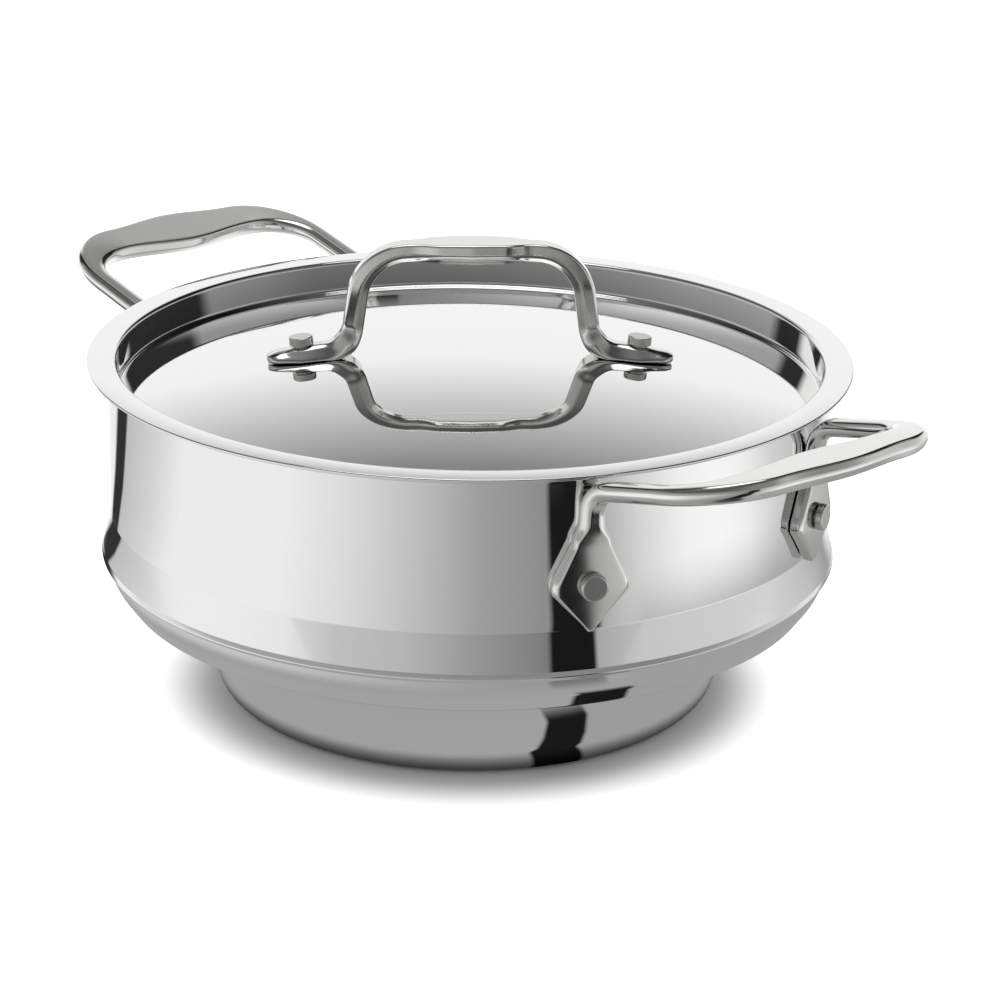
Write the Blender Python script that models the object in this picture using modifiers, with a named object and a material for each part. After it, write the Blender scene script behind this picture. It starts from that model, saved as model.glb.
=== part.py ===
"""A stepped steamer pot with its lid.

Metres, +Z up. The origin is the centre of the base, on the surface that the pot stands on. The side
handles lie along X, and the lid handle is turned LID_TURN from them.
"""

import math

import bmesh
import bpy
from mathutils import Matrix, Vector

# Pot shell: outer radii, and heights above the base
POT_SHEET = 0.0009
BASE_CORNER = 0.0090
DRUM_FOOT_RADIUS = 0.0769
DRUM_TOP_RADIUS = 0.0786
DRUM_COVE = 0.0018
STEP_HEIGHT = 0.0335
STEP_RADIUS = 0.1044
STEP_CORNER = 0.0015
SHOULDER_RADIUS = 0.1093
SHOULDER_HEIGHT = 0.0403
SHOULDER_CURVE = 0.0090
GROOVE_RADIUS = 0.10975
GROOVE_HEIGHT = 0.0444
BEAD_RADIUS = 0.1118
BEAD_HEIGHT = 0.0456
BEAD_CORNER = 0.0006
BAND_FOOT_RADIUS = 0.1111
BAND_FOOT = 0.0473
BAND_TOP = 0.0585
WALL_RADIUS = 0.1087
RIM_HEIGHT = 0.1048
LIP_RADIUS = 0.1128
LIP_CORNER = 0.0016

# Seams that divide the drawn shell, so that its collision stays open inside
STEP_SEAM_INSET = 0.0014
BASE_SEAM_INSET = 0.0096

# Perforated base
HOLE_DIAMETER = 0.0054
HOLE_PITCH = 0.0130
HOLE_RINGS = 4
HOLE_FIELD_TURN = math.radians(4.0)

# Lid shell
LID_SHEET = 0.0008
FLANGE_RADIUS = 0.1150
RECESS_RADIUS = 0.1063
RECESS_DRAFT = 0.0006
RECESS_DEPTH = 0.0102
DOME_RISE = 0.0006
FLANGE_CORNER = 0.0012
RECESS_CORNER = 0.0012

# Lid handle: its length runs along its own X, before the lid is turned
LID_TURN = math.radians(52.0)
LID_HANDLE_SPAN = 0.1211
LID_RIVET_SPACING = 0.1008
LEG_FOOT_SPACING = 0.0726
LEG_TOP_SPACING = 0.0648
LID_BAR_HEIGHT = 0.0350
LID_BAR_ARCH = 0.0015
LID_BAR_WIDTH = 0.0136
LID_BAR_END_WIDTH = 0.0076
LID_BAR_THICKNESS = 0.0048
LID_BAR_CORNER = 0.0145
CORNER_FILL = 0.0008
LEG_BEND = 0.0085
LEG_WIDTH = 0.0070
LEG_THICKNESS = 0.0063
HEEL_FILL = 0.0014
LID_ANKLE_WIDTH = 0.0106
LID_ANKLE_THICKNESS = 0.0042
LID_FOOT_WIDTH = 0.0118
LID_FOOT_TAPER = 0.58
LID_FOOT_THICKNESS = 0.0040
LID_LEAF_REACH = 0.0030
LID_LEAF_WIDTH = 0.0098
LID_LEAF_THICKNESS = 0.0031
LID_TIP_WIDTH = 0.0052
LID_TIP_THICKNESS = 0.0022

# Side handles: the right one, on +X
SIDE_RIVET_SPACING = 0.0858
SIDE_RIVET_HEIGHT = 0.0729
HANDLE_REACH = 0.1590
HANDLE_WIDTH = 0.0956
HANDLE_TILT = math.radians(13.0)
HANDLE_RISE = 0.0095
GRIP_TILT = math.radians(10.5)
GRIP_WIDTH = 0.0206
GRIP_END_WIDTH = 0.0146
GRIP_THICKNESS = 0.0056
GRIP_TAPER = 0.18
GRIP_CORNER = 0.0200
ARM_WIDTH = 0.0078
ARM_THICKNESS = 0.0054
NECK_BEND = 0.0090
NECK_WIDTH = 0.0074
WAIST_WIDTH = 0.0110
WAIST_ABOVE_RIVET = 0.0117
FOOT_WIDTH = 0.0226
CHEEK_ABOVE_RIVET = 0.0004
CHEEK_BELOW_RIVET = 0.0023
FOOT_BELOW_RIVET = 0.0131
FOOT_THICKNESS = 0.0042
FOOT_BEVEL = 0.18
FOOT_TIP_WIDTH = 0.0022

# Rivets
RIVET_SHANK = 0.0024
SIDE_RIVET_HEAD = 0.0040
LID_RIVET_HEAD = 0.0036
SIDE_HEAD_HEIGHT = 0.0021
LID_HEAD_HEIGHT = 0.0025
INNER_HEAD_HEIGHT = 0.0014
HEAD_CHAMFER = 0.0005

# Clearances
SEAT_GAP = 0.0003
SHANK_GAP = 0.0003
LID_SEAT_GAP = 0.0003
SEAM_GAP = 0.0003

# How boxy the handles' sections are: 2 is an ellipse, and more is squarer
FOOT_TIP_SQUARE = 5.0
FOOT_SQUARE = 6.0
WAIST_SQUARE = 4.5
NECK_SQUARE = 3.2
ARM_SQUARE = 2.8
GRIP_SQUARE = 4.0
LID_TIP_SQUARE = 3.0
LID_FOOT_SQUARE = 5.0
LID_ANKLE_SQUARE = 4.0
LID_HEEL_SQUARE = 3.4
LEG_FOOT_SQUARE = 3.6
LEG_TOP_SQUARE = 3.6
LID_BAR_SQUARE = 4.5

# Cutters and joins
DRILL_LENGTH = 0.0160
MERGE_DISTANCE = 0.00005

# Smoothness
SMOOTH_ANGLE = math.radians(32.0)
TURN_STEPS = 48
DOME_RINGS = 6
RIVET_STEPS = 12
HOLE_SIDES = 8
LONGEST_STEP = 0.0070
PROFILE_STEP = math.radians(32.0)
BEND_STEP = math.radians(18.0)
SECTION_ANGLES = (10, 32, 50, 75, 105, 130, 148, 170, 200, 230, 270, 310, 340)

# Sizes that follow
FLANGE_TOP = RIM_HEIGHT + LID_SEAT_GAP + LID_SHEET
RECESS_FOOT_RADIUS = RECESS_RADIUS - RECESS_DRAFT
STEP_SEAM_RADIUS = STEP_RADIUS - STEP_SEAM_INSET
BASE_SEAM_RADIUS = DRUM_FOOT_RADIUS - BASE_SEAM_INSET
SIDE_RIVET_ANGLE = math.asin(SIDE_RIVET_SPACING / 2 / WALL_RADIUS)

STEEL = {
    "polished_shell": ((0.80, 0.80, 0.79), 0.10),
    "polished_lid": ((0.83, 0.83, 0.82), 0.08),
    "cast_handle": ((0.70, 0.69, 0.67), 0.24),
    "rivet": ((0.60, 0.60, 0.59), 0.34),
}


def clear_scene():
    for found in list(bpy.data.objects):
        bpy.data.objects.remove(found, do_unlink=True)


def new_collection(name):
    collection = bpy.data.collections.new(name)
    bpy.context.scene.collection.children.link(collection)
    return collection


def steel(name):
    """A Principled metal with the colour and roughness that STEEL gives under this name."""
    colour, roughness = STEEL[name]
    material = bpy.data.materials.new(name)
    material.use_nodes = True
    shader = material.node_tree.nodes["Principled BSDF"]
    shader.inputs["Base Color"].default_value = (*colour, 1.0)
    shader.inputs["Metallic"].default_value = 1.0
    shader.inputs["Roughness"].default_value = roughness
    material.diffuse_color = (*colour, 1.0)
    return material


def new_object(name, mesh, collection, material=None):
    made = bpy.data.objects.new(name, mesh)
    collection.objects.link(made)
    if material is not None and not mesh.materials:
        mesh.materials.append(material)
    return made


def smooth(mesh):
    mesh.shade_smooth()
    mesh.set_sharp_from_angle(angle=SMOOTH_ANGLE)


def rounded(corners, longest_turn):
    """Points along straight runs whose corners are arcs.

    Each corner is (point, radius), and a radius of 0 keeps it sharp. No two points of an arc turn
    by more than longest_turn.
    """
    points = []
    for index, (place, radius) in enumerate(corners):
        here = Vector(place)
        if not radius or index in (0, len(corners) - 1):
            points.append(here)
            continue
        back = (Vector(corners[index - 1][0]) - here).normalized()
        ahead = (Vector(corners[index + 1][0]) - here).normalized()
        half = back.angle(ahead) / 2
        turn = math.pi - 2 * half
        centre = here + (back + ahead).normalized() * (radius / math.sin(half))
        start = here + back * (radius / math.tan(half)) - centre
        across = here + ahead * (radius / math.tan(half)) - centre
        steps = max(2, math.ceil(turn / longest_turn))
        for step in range(steps + 1):
            share = step / steps
            weight = math.sin((1 - share) * turn) * start + math.sin(share * turn) * across
            points.append(centre + weight / math.sin(turn))
    return points


def turned(name, profile, collection, material, steps):
    """A surface turned round Z from (radius, height) points, which run down its outer side."""
    mesh = bpy.data.meshes.new(name)
    points = [(radius, 0.0, height) for radius, height in profile]
    mesh.from_pydata(points, [(i, i + 1) for i in range(len(points) - 1)], [])
    made = new_object(name, mesh, collection, material)
    screw = made.modifiers.new("turn", "SCREW")
    screw.axis = "Z"
    screw.steps = steps
    screw.render_steps = steps
    screw.use_merge_vertices = True
    screw.merge_threshold = MERGE_DISTANCE
    screw.use_smooth_shade = True
    return made


def thicken(made, sheet):
    """Gives a surface its sheet thickness, on the side away from its normals."""
    solidify = made.modifiers.new("sheet", "SOLIDIFY")
    solidify.thickness = sheet
    solidify.offset = -1.0
    solidify.use_even_offset = True


def cut(made, cutter):
    boolean = made.modifiers.new(cutter.name, "BOOLEAN")
    boolean.operation = "DIFFERENCE"
    boolean.solver = "EXACT"
    boolean.object = cutter


def drill_set(name, places, radius, sides, collection):
    """One cutter with a round drill at each place. A place is a matrix whose Z is the drill's axis."""
    mesh = bpy.data.meshes.new(name)
    shape = bmesh.new()
    for place in places:
        bmesh.ops.create_cone(
            shape,
            cap_ends=True,
            segments=sides,
            radius1=radius,
            radius2=radius,
            depth=DRILL_LENGTH,
            matrix=place,
        )
    shape.to_mesh(mesh)
    shape.free()
    made = new_object(name, mesh, collection)
    made.hide_render = True
    made.display_type = "WIRE"
    return made


def dome_height(radius):
    """Height of the lid's top surface over its dome."""
    fall = (RECESS_DEPTH + DOME_RISE) * (radius / RECESS_FOOT_RADIUS) ** 2
    return FLANGE_TOP + DOME_RISE - fall


def dome_slope(radius):
    """How steeply the lid's dome falls at this radius."""
    return 2 * (RECESS_DEPTH + DOME_RISE) * radius / RECESS_FOOT_RADIUS**2


def wall_profile():
    """The upper body's outer side, from the lip down to its seam under the step's edge."""
    lip_underside = RIM_HEIGHT - POT_SHEET
    corners = [
        ((LIP_RADIUS, lip_underside), 0),
        ((WALL_RADIUS, lip_underside), LIP_CORNER),
        ((WALL_RADIUS, BAND_TOP), 0),
        ((BAND_FOOT_RADIUS, BAND_FOOT), 0),
        ((BEAD_RADIUS, BEAD_HEIGHT), BEAD_CORNER),
        ((GROOVE_RADIUS, GROOVE_HEIGHT), 0),
        ((SHOULDER_RADIUS, SHOULDER_HEIGHT), SHOULDER_CURVE),
        ((STEP_RADIUS, STEP_HEIGHT), STEP_CORNER),
        ((STEP_SEAM_RADIUS, STEP_HEIGHT), 0),
    ]
    return rounded(corners, PROFILE_STEP)


def drum_profile():
    """The underside of the step, the drum's outer side and its base corner, seam to seam."""
    corners = [
        ((STEP_SEAM_RADIUS - SEAM_GAP, STEP_HEIGHT), 0),
        ((DRUM_TOP_RADIUS, STEP_HEIGHT), DRUM_COVE),
        ((DRUM_FOOT_RADIUS, 0.0), BASE_CORNER),
        ((BASE_SEAM_RADIUS, 0.0), 0),
    ]
    return rounded(corners, PROFILE_STEP)


def base_profile():
    """The underside of the base, from its seam to the middle."""
    return [(BASE_SEAM_RADIUS - SEAM_GAP, 0.0), (0.0, 0.0)]


def lid_profile():
    """The lid's top side, from the middle of the dome out to the flange's edge."""
    radii = [RECESS_FOOT_RADIUS * ring / DOME_RINGS for ring in range(DOME_RINGS)]
    corners = [((radius, dome_height(radius)), 0) for radius in radii]
    corners += [
        ((RECESS_FOOT_RADIUS, FLANGE_TOP - RECESS_DEPTH), RECESS_CORNER),
        ((RECESS_RADIUS, FLANGE_TOP), FLANGE_CORNER),
        ((FLANGE_RADIUS, FLANGE_TOP), 0),
    ]
    return rounded(corners, PROFILE_STEP)


def hole_places():
    """Centres of the base's holes: a hexagonal field of HOLE_RINGS rings round a middle one."""
    turn = Matrix.Rotation(HOLE_FIELD_TURN, 4, "Z")
    places = []
    for row in range(-HOLE_RINGS, HOLE_RINGS + 1):
        for column in range(-HOLE_RINGS, HOLE_RINGS + 1):
            if abs(row + column) > HOLE_RINGS:
                continue
            x = HOLE_PITCH * (column + row / 2)
            y = HOLE_PITCH * row * math.sqrt(3) / 2
            places.append(turn @ Matrix.Translation((x, y, POT_SHEET / 2)))
    return places


def side_rivet_place(turn):
    """A frame on the wall's outer face with Z pointing out, turned about the pot's axis."""
    out = Vector((math.cos(turn), math.sin(turn), 0.0))
    place = Matrix.Translation(out * WALL_RADIUS + Vector((0.0, 0.0, SIDE_RIVET_HEIGHT)))
    return place @ Matrix.Rotation(turn, 4, "Z") @ Matrix.Rotation(math.pi / 2, 4, "Y")


def lid_rivet_place(side):
    """A frame on the dome's top face with Z square to it, on the lid handle's own X."""
    reach = LID_RIVET_SPACING / 2
    lean = side * math.atan(dome_slope(reach))
    place = Matrix.Translation((side * reach, 0.0, dome_height(reach)))
    return Matrix.Rotation(LID_TURN, 4, "Z") @ place @ Matrix.Rotation(lean, 4, "Y")


def side_rivet_turns():
    return {
        "side_rivet_right_front": -SIDE_RIVET_ANGLE,
        "side_rivet_right_rear": SIDE_RIVET_ANGLE,
        "side_rivet_left_front": math.pi + SIDE_RIVET_ANGLE,
        "side_rivet_left_rear": math.pi - SIDE_RIVET_ANGLE,
    }


class Section:
    """A handle's cross-section at one place along it.

    along is the distance from the foot's tip, face the way its face looks, width its full width,
    back and front its depth behind and before the route, square how boxy it is (2 is an ellipse),
    taper how much narrower the face is, as a share of the width, and wrap the curvature that it is
    bent to. Where straight is set, the sizes run in straight lines from here to the next section.
    """

    def __init__(self, along, face, sizes, square, taper=0.0, wrap=0.0, straight=False):
        width, back, front = sizes
        self.along = along
        self.face = Vector(face)
        self.sizes = (width, back, front, square, taper, wrap)
        self.straight = straight


def section_at(sections, along):
    """The face direction and sizes at one place, from the sections on either side."""
    if along <= sections[0].along:
        return sections[0].face, sections[0].sizes
    for low, high in zip(sections, sections[1:]):
        if along <= high.along:
            share = (along - low.along) / (high.along - low.along)
            eased = share * share * (3 - 2 * share)
            face = low.face.lerp(high.face, eased)
            if not low.straight:
                share = eased
            sizes = [a + (b - a) * share for a, b in zip(low.sizes, high.sizes)]
            return face, sizes
    return sections[-1].face, sections[-1].sizes


def ring_of(middle, travel, face, sizes):
    """The section's points round the route at one place."""
    width, back, front, square, taper, wrap = sizes
    across = face.cross(travel).normalized()
    face = travel.cross(across).normalized()
    ring = []
    for degrees in SECTION_ANGLES:
        cosine = math.cos(math.radians(degrees))
        sine = math.sin(math.radians(degrees))
        share = math.copysign(abs(cosine) ** (2 / square), cosine)
        depth = math.copysign(abs(sine) ** (2 / square), sine)
        offset = share * width / 2
        if depth > 0:
            offset *= 1 - taper * depth
            height = depth * front
        else:
            height = depth * back
        ring.append(middle + across * offset + face * (height - wrap * offset * offset / 2))
    return ring


def lengths_along(route):
    """The distance from the route's start to each of its points."""
    total = [0.0]
    for before, after in zip(route, route[1:]):
        total.append(total[-1] + (after - before).length)
    return total


def divided(route):
    """The route with its long straight runs divided into steps no longer than LONGEST_STEP."""
    points = [route[0]]
    for before, after in zip(route, route[1:]):
        pieces = max(1, math.ceil((after - before).length / LONGEST_STEP))
        points += [before.lerp(after, piece / pieces) for piece in range(1, pieces + 1)]
    return points


def half_handle(name, route, sections, mirror_axis):
    """A loft along the route, capped at its tip and open at the mirror plane, as a mesh."""
    along = lengths_along(route)
    rings = []
    for index, middle in enumerate(route):
        before = route[max(index - 1, 0)]
        after = route[min(index + 1, len(route) - 1)]
        travel = (after - before).normalized()
        if index == len(route) - 1:
            travel = Vector((0.0, 0.0, 0.0))
            travel[mirror_axis] = -1.0
        face, sizes = section_at(sections, along[index])
        rings.append(ring_of(middle, travel, face, sizes))
    for point in rings[-1]:
        point[mirror_axis] = 0.0
    shape = bmesh.new()
    loops = [[shape.verts.new(point) for point in ring] for ring in rings]
    for low, high in zip(loops, loops[1:]):
        for index in range(len(low)):
            following = (index + 1) % len(low)
            shape.faces.new((low[index], low[following], high[following], high[index]))
    shape.faces.new(loops[0][::-1])
    mesh = bpy.data.meshes.new(name)
    shape.to_mesh(mesh)
    shape.free()
    smooth(mesh)
    return mesh


def mirrored(name, mesh, axis, place, collection, material):
    """A handle from its half mesh, set in its place."""
    made = new_object(name, mesh, collection, material)
    made.matrix_world = place
    mirror = made.modifiers.new("other_half", "MIRROR")
    mirror.use_axis = [index == axis for index in range(3)]
    mirror.use_mirror_merge = True
    mirror.merge_threshold = MERGE_DISTANCE
    return made


def side_handle_mesh():
    """Half of the right handle: foot, neck, arm and half the grip, at positive Y."""
    half_foot = FOOT_THICKNESS / 2
    half_arm = ARM_THICKNESS / 2
    half_grip = GRIP_THICKNESS / 2
    out = Vector((math.cos(SIDE_RIVET_ANGLE), math.sin(SIDE_RIVET_ANGLE), 0.0))
    foot = out * (WALL_RADIUS + SEAT_GAP + half_foot)
    rivet = Vector((foot.x, foot.y, SIDE_RIVET_HEIGHT))
    up = Vector((0.0, 0.0, 1.0))
    tip = rivet - up * FOOT_BELOW_RIVET
    waist = rivet + up * WAIST_ABOVE_RIVET
    grip_radius = HANDLE_REACH - GRIP_WIDTH / 2
    grip_height = FLANGE_TOP + HANDLE_RISE - half_grip - math.tan(GRIP_TILT) * GRIP_WIDTH / 2
    arm_side = (HANDLE_WIDTH - ARM_WIDTH) / 2
    bend = Vector((foot.x, foot.y, grip_height - math.tan(HANDLE_TILT) * (grip_radius - foot.x)))
    corner = Vector((grip_radius, arm_side, grip_height))
    middle = Vector((grip_radius, 0.0, grip_height))
    stops = [(tip, 0), (rivet, 0), (waist, 0), (bend, NECK_BEND), (corner, GRIP_CORNER), (middle, 0)]
    route = divided(rounded(stops, BEND_STEP))
    length = lengths_along(route)[-1]
    down = Vector((math.sin(HANDLE_TILT), 0.0, -math.cos(HANDLE_TILT)))
    under = Vector((math.sin(GRIP_TILT), 0.0, -math.cos(GRIP_TILT)))
    wrap = 1 / WALL_RADIUS
    cheek_low = FOOT_BELOW_RIVET - CHEEK_BELOW_RIVET
    cheek_high = FOOT_BELOW_RIVET + CHEEK_ABOVE_RIVET
    at_waist = FOOT_BELOW_RIVET + WAIST_ABOVE_RIVET
    at_neck = bend.z - tip.z - NECK_BEND
    at_arm = at_neck + 2 * NECK_BEND
    grip_end = length - (arm_side - GRIP_CORNER)
    arm_end = grip_end - GRIP_CORNER * math.pi / 2
    tip_sizes = (FOOT_TIP_WIDTH, half_foot, half_foot * 3 / 4)
    foot_sizes = (FOOT_WIDTH, half_foot, half_foot)
    waist_sizes = (WAIST_WIDTH, half_foot, half_foot)
    neck_sizes = (NECK_WIDTH, half_foot, half_arm)
    arm_sizes = (ARM_WIDTH, half_arm, half_arm)
    corner_sizes = (GRIP_END_WIDTH, half_grip, half_grip)
    grip_sizes = (GRIP_WIDTH, half_grip, half_grip)
    sections = [
        Section(0.0, out, tip_sizes, FOOT_TIP_SQUARE, taper=FOOT_BEVEL, wrap=wrap, straight=True),
        Section(cheek_low, out, foot_sizes, FOOT_SQUARE, taper=FOOT_BEVEL, wrap=wrap, straight=True),
        Section(cheek_high, out, foot_sizes, FOOT_SQUARE, taper=FOOT_BEVEL, wrap=wrap, straight=True),
        Section(at_waist, out, waist_sizes, WAIST_SQUARE, taper=FOOT_BEVEL, wrap=wrap),
        Section(at_neck, out, neck_sizes, NECK_SQUARE, taper=FOOT_BEVEL),
        Section(at_arm, down, arm_sizes, ARM_SQUARE),
        Section(arm_end, down, arm_sizes, ARM_SQUARE),
        Section(grip_end, under, corner_sizes, GRIP_SQUARE, taper=GRIP_TAPER),
        Section(length, under, grip_sizes, GRIP_SQUARE, taper=GRIP_TAPER),
    ]
    return half_handle("side_handle", route, sections, 1)


def lid_handle_mesh():
    """Half of the lid handle: foot, leg and half the bar, at positive X."""
    half_foot = LID_FOOT_THICKNESS / 2
    half_leg = LEG_THICKNESS / 2
    half_bar = LID_BAR_THICKNESS / 2
    tip_reach = LID_HANDLE_SPAN / 2
    rivet_reach = LID_RIVET_SPACING / 2
    leg_foot = LEG_FOOT_SPACING / 2
    leg_top = LEG_TOP_SPACING / 2
    rise = LID_SEAT_GAP + half_foot
    bar_height = FLANGE_TOP + LID_BAR_HEIGHT - half_bar
    tip = Vector((tip_reach, 0.0, dome_height(tip_reach) + rise))
    rivet = Vector((rivet_reach, 0.0, dome_height(rivet_reach) + rise))
    ankle = Vector((leg_foot, 0.0, dome_height(leg_foot) + rise))
    corner = Vector((leg_top, 0.0, bar_height - LID_BAR_ARCH))
    middle = Vector((0.0, 0.0, bar_height - LID_BAR_ARCH))
    leaf = tip.lerp(rivet, LID_LEAF_REACH / (tip_reach - rivet_reach))
    stops = [(tip, 0), (leaf, 0), (rivet, 0), (ankle, LEG_BEND), (corner, LID_BAR_CORNER), (middle, 0)]
    route = divided(rounded(stops, BEND_STEP))
    for point in route:
        point.z += LID_BAR_ARCH * max(0.0, 1 - (point.x / leg_top) ** 2)
    length = lengths_along(route)[-1]
    at_rivet = tip_reach - rivet_reach
    foot_end = tip_reach - leg_foot - LEG_BEND
    heel = foot_end + LEG_BEND
    leg_start = foot_end + LEG_BEND * math.pi / 2
    bar_end = length - leg_top + LID_BAR_CORNER
    leg_end = bar_end - LID_BAR_CORNER * math.pi / 2
    up = Vector((0.0, 0.0, 1.0))
    out = Vector((1.0, 0.0, 0.0))
    tip_sizes = (LID_TIP_WIDTH, half_foot, LID_TIP_THICKNESS - half_foot)
    leaf_sizes = (LID_LEAF_WIDTH, half_foot, LID_LEAF_THICKNESS - half_foot)
    foot_sizes = (LID_FOOT_WIDTH, half_foot, half_foot)
    ankle_sizes = (LID_ANKLE_WIDTH, half_foot, LID_ANKLE_THICKNESS - half_foot)
    heel_sizes = (LID_ANKLE_WIDTH, half_foot + HEEL_FILL, half_leg)
    leg_sizes = (LEG_WIDTH, half_leg, half_leg)
    corner_sizes = (LID_BAR_END_WIDTH, half_bar + CORNER_FILL, half_bar)
    crown_width = LID_BAR_END_WIDTH + (LID_BAR_WIDTH - LID_BAR_END_WIDTH) * 3 / 4
    crown_sizes = (crown_width, half_bar, half_bar)
    bar_sizes = (LID_BAR_WIDTH, half_bar, half_bar)
    sections = [
        Section(0.0, up, tip_sizes, LID_TIP_SQUARE, taper=LID_FOOT_TAPER, straight=True),
        Section(LID_LEAF_REACH, up, leaf_sizes, LID_TIP_SQUARE, taper=LID_FOOT_TAPER, straight=True),
        Section(at_rivet, up, foot_sizes, LID_FOOT_SQUARE, taper=LID_FOOT_TAPER, straight=True),
        Section(foot_end, up, ankle_sizes, LID_ANKLE_SQUARE, taper=LID_FOOT_TAPER),
        Section(heel, up + out, heel_sizes, LID_HEEL_SQUARE, taper=LID_FOOT_TAPER / 2),
        Section(leg_start, out, leg_sizes, LEG_FOOT_SQUARE),
        Section(leg_end, out, leg_sizes, LEG_TOP_SQUARE),
        Section(bar_end, up, corner_sizes, LEG_TOP_SQUARE, straight=True),
        Section((bar_end + length) / 2, up, crown_sizes, LID_BAR_SQUARE, straight=True),
        Section(length, up, bar_sizes, LID_BAR_SQUARE),
    ]
    return half_handle("lid_handle", route, sections, 0)


def rivet_profile(head, head_height, seat, grip):
    """A rivet's outline from its outer head down to its inner one.

    head is the heads' radius, seat the height of the outer head's underside, and grip the depth of
    the inner head's seat, both from the outer face of the sheet.
    """
    top = seat + head_height
    bottom = -grip - INNER_HEAD_HEIGHT
    return [
        (0.0, top),
        (head - HEAD_CHAMFER, top),
        (head, top - HEAD_CHAMFER),
        (head, seat),
        (RIVET_SHANK, seat),
        (RIVET_SHANK, -grip),
        (head, -grip),
        (head - HEAD_CHAMFER, bottom),
        (0.0, bottom),
    ]


def make_pot(parts, cutters, shell, handle, rivet):
    pot = turned("steamer_body", wall_profile(), parts, shell, TURN_STEPS)
    drum = turned("lower_drum", drum_profile(), parts, shell, TURN_STEPS)
    base = turned("perforated_base", base_profile(), parts, shell, TURN_STEPS)
    for sheet in (pot, drum, base):
        thicken(sheet, POT_SHEET)
    holes = drill_set("base_hole_drills", hole_places(), HOLE_DIAMETER / 2, HOLE_SIDES, cutters)
    turns = side_rivet_turns()
    places = [side_rivet_place(turn) for turn in turns.values()]
    shank_hole = RIVET_SHANK + SHANK_GAP
    drills = drill_set("side_rivet_drills", places, shank_hole, RIVET_STEPS, cutters)
    cut(base, holes)
    cut(pot, drills)
    half = side_handle_mesh()
    for name, turn in (("side_handle_right", 0.0), ("side_handle_left", math.pi)):
        made = mirrored(name, half, 1, Matrix.Rotation(turn, 4, "Z"), parts, handle)
        cut(made, drills)
    seat = SEAT_GAP + FOOT_THICKNESS + SEAT_GAP
    outline = rivet_profile(SIDE_RIVET_HEAD, SIDE_HEAD_HEIGHT, seat, POT_SHEET + SEAT_GAP)
    for name, turn in turns.items():
        made = turned(name, outline, parts, rivet, RIVET_STEPS)
        made.matrix_world = side_rivet_place(turn)


def make_lid(parts, cutters, shell, handle, rivet):
    lid = turned("lid_shell", lid_profile(), parts, shell, TURN_STEPS)
    thicken(lid, LID_SHEET)
    sides = {"lid_rivet_left": -1, "lid_rivet_right": 1}
    places = [lid_rivet_place(side) for side in sides.values()]
    shank_hole = RIVET_SHANK + SHANK_GAP
    drills = drill_set("lid_rivet_drills", places, shank_hole, RIVET_STEPS, cutters)
    cut(lid, drills)
    turn = Matrix.Rotation(LID_TURN, 4, "Z")
    made = mirrored("lid_handle", lid_handle_mesh(), 0, turn, parts, handle)
    cut(made, drills)
    seat = LID_SEAT_GAP + LID_FOOT_THICKNESS + SEAT_GAP
    outline = rivet_profile(LID_RIVET_HEAD, LID_HEAD_HEIGHT, seat, LID_SHEET + SEAT_GAP)
    for name, side in sides.items():
        made = turned(name, outline, parts, rivet, RIVET_STEPS)
        made.matrix_world = lid_rivet_place(side)


def main():
    clear_scene()
    parts = new_collection("steamer_pot")
    cutters = new_collection("cutters")
    handle = steel("cast_handle")
    rivet = steel("rivet")
    make_pot(parts, cutters, steel("polished_shell"), handle, rivet)
    make_lid(parts, cutters, steel("polished_lid"), handle, rivet)


main()
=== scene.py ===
"""The looks of a stepped steamer pot with its lid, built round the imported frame.

Metres, +Z up. The origin is the centre of the base, on the surface that the pot stands on. The side
handles lie along X. Every sheet is turned round Z from its outline, every handle is a loft along a
route, and the rivets and the steam holes are laid out by rule.
"""

from __future__ import annotations

import logging
import math
from collections.abc import Sequence
from dataclasses import dataclass, field
from enum import Enum

import bmesh
import bpy
from mathutils import Matrix, Vector


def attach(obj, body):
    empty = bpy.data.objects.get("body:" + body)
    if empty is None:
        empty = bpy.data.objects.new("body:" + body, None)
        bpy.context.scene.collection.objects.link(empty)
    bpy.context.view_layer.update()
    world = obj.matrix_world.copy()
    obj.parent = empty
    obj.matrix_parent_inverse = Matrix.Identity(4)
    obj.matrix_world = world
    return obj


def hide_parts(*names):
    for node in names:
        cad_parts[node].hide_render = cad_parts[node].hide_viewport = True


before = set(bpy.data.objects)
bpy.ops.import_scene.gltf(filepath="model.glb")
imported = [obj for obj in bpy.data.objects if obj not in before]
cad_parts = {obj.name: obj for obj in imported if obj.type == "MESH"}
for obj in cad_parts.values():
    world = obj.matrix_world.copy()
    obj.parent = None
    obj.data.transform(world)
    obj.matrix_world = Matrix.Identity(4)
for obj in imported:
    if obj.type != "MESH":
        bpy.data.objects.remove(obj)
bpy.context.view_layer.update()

Socket = bpy.types.NodeSocket
Value = float | Socket
Stops = Sequence[tuple[float, float]]

LOG = logging.getLogger("steamer_pot")
POT_BODY = "pot"
LID_BODY = "lid"
EDGE = "edge_wear"
REACH = "turning_reach"
RIVET_AXIS = "rivet_axis"
UP = Vector((0.0, 0.0, 1.0))
WHITE = (1.0, 1.0, 1.0, 1.0)
SEAM_GAP = 1e-6
NOSE_STEPS = 8
SHEET_CREASE = 40.0
CAST_CREASE = 50.0


class Slot(Enum):
    """The record's material slots."""

    SHELL = "polished_shell"
    LID = "polished_lid"
    HANDLE = "cast_handle"
    RIVET = "rivet"


class Grain(Enum):
    """How a finish's fine marks run."""

    TURNED = "round the axis"
    CAST = "in every direction"
    FACED = "in rings round each rivet"


# Node helpers


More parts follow.
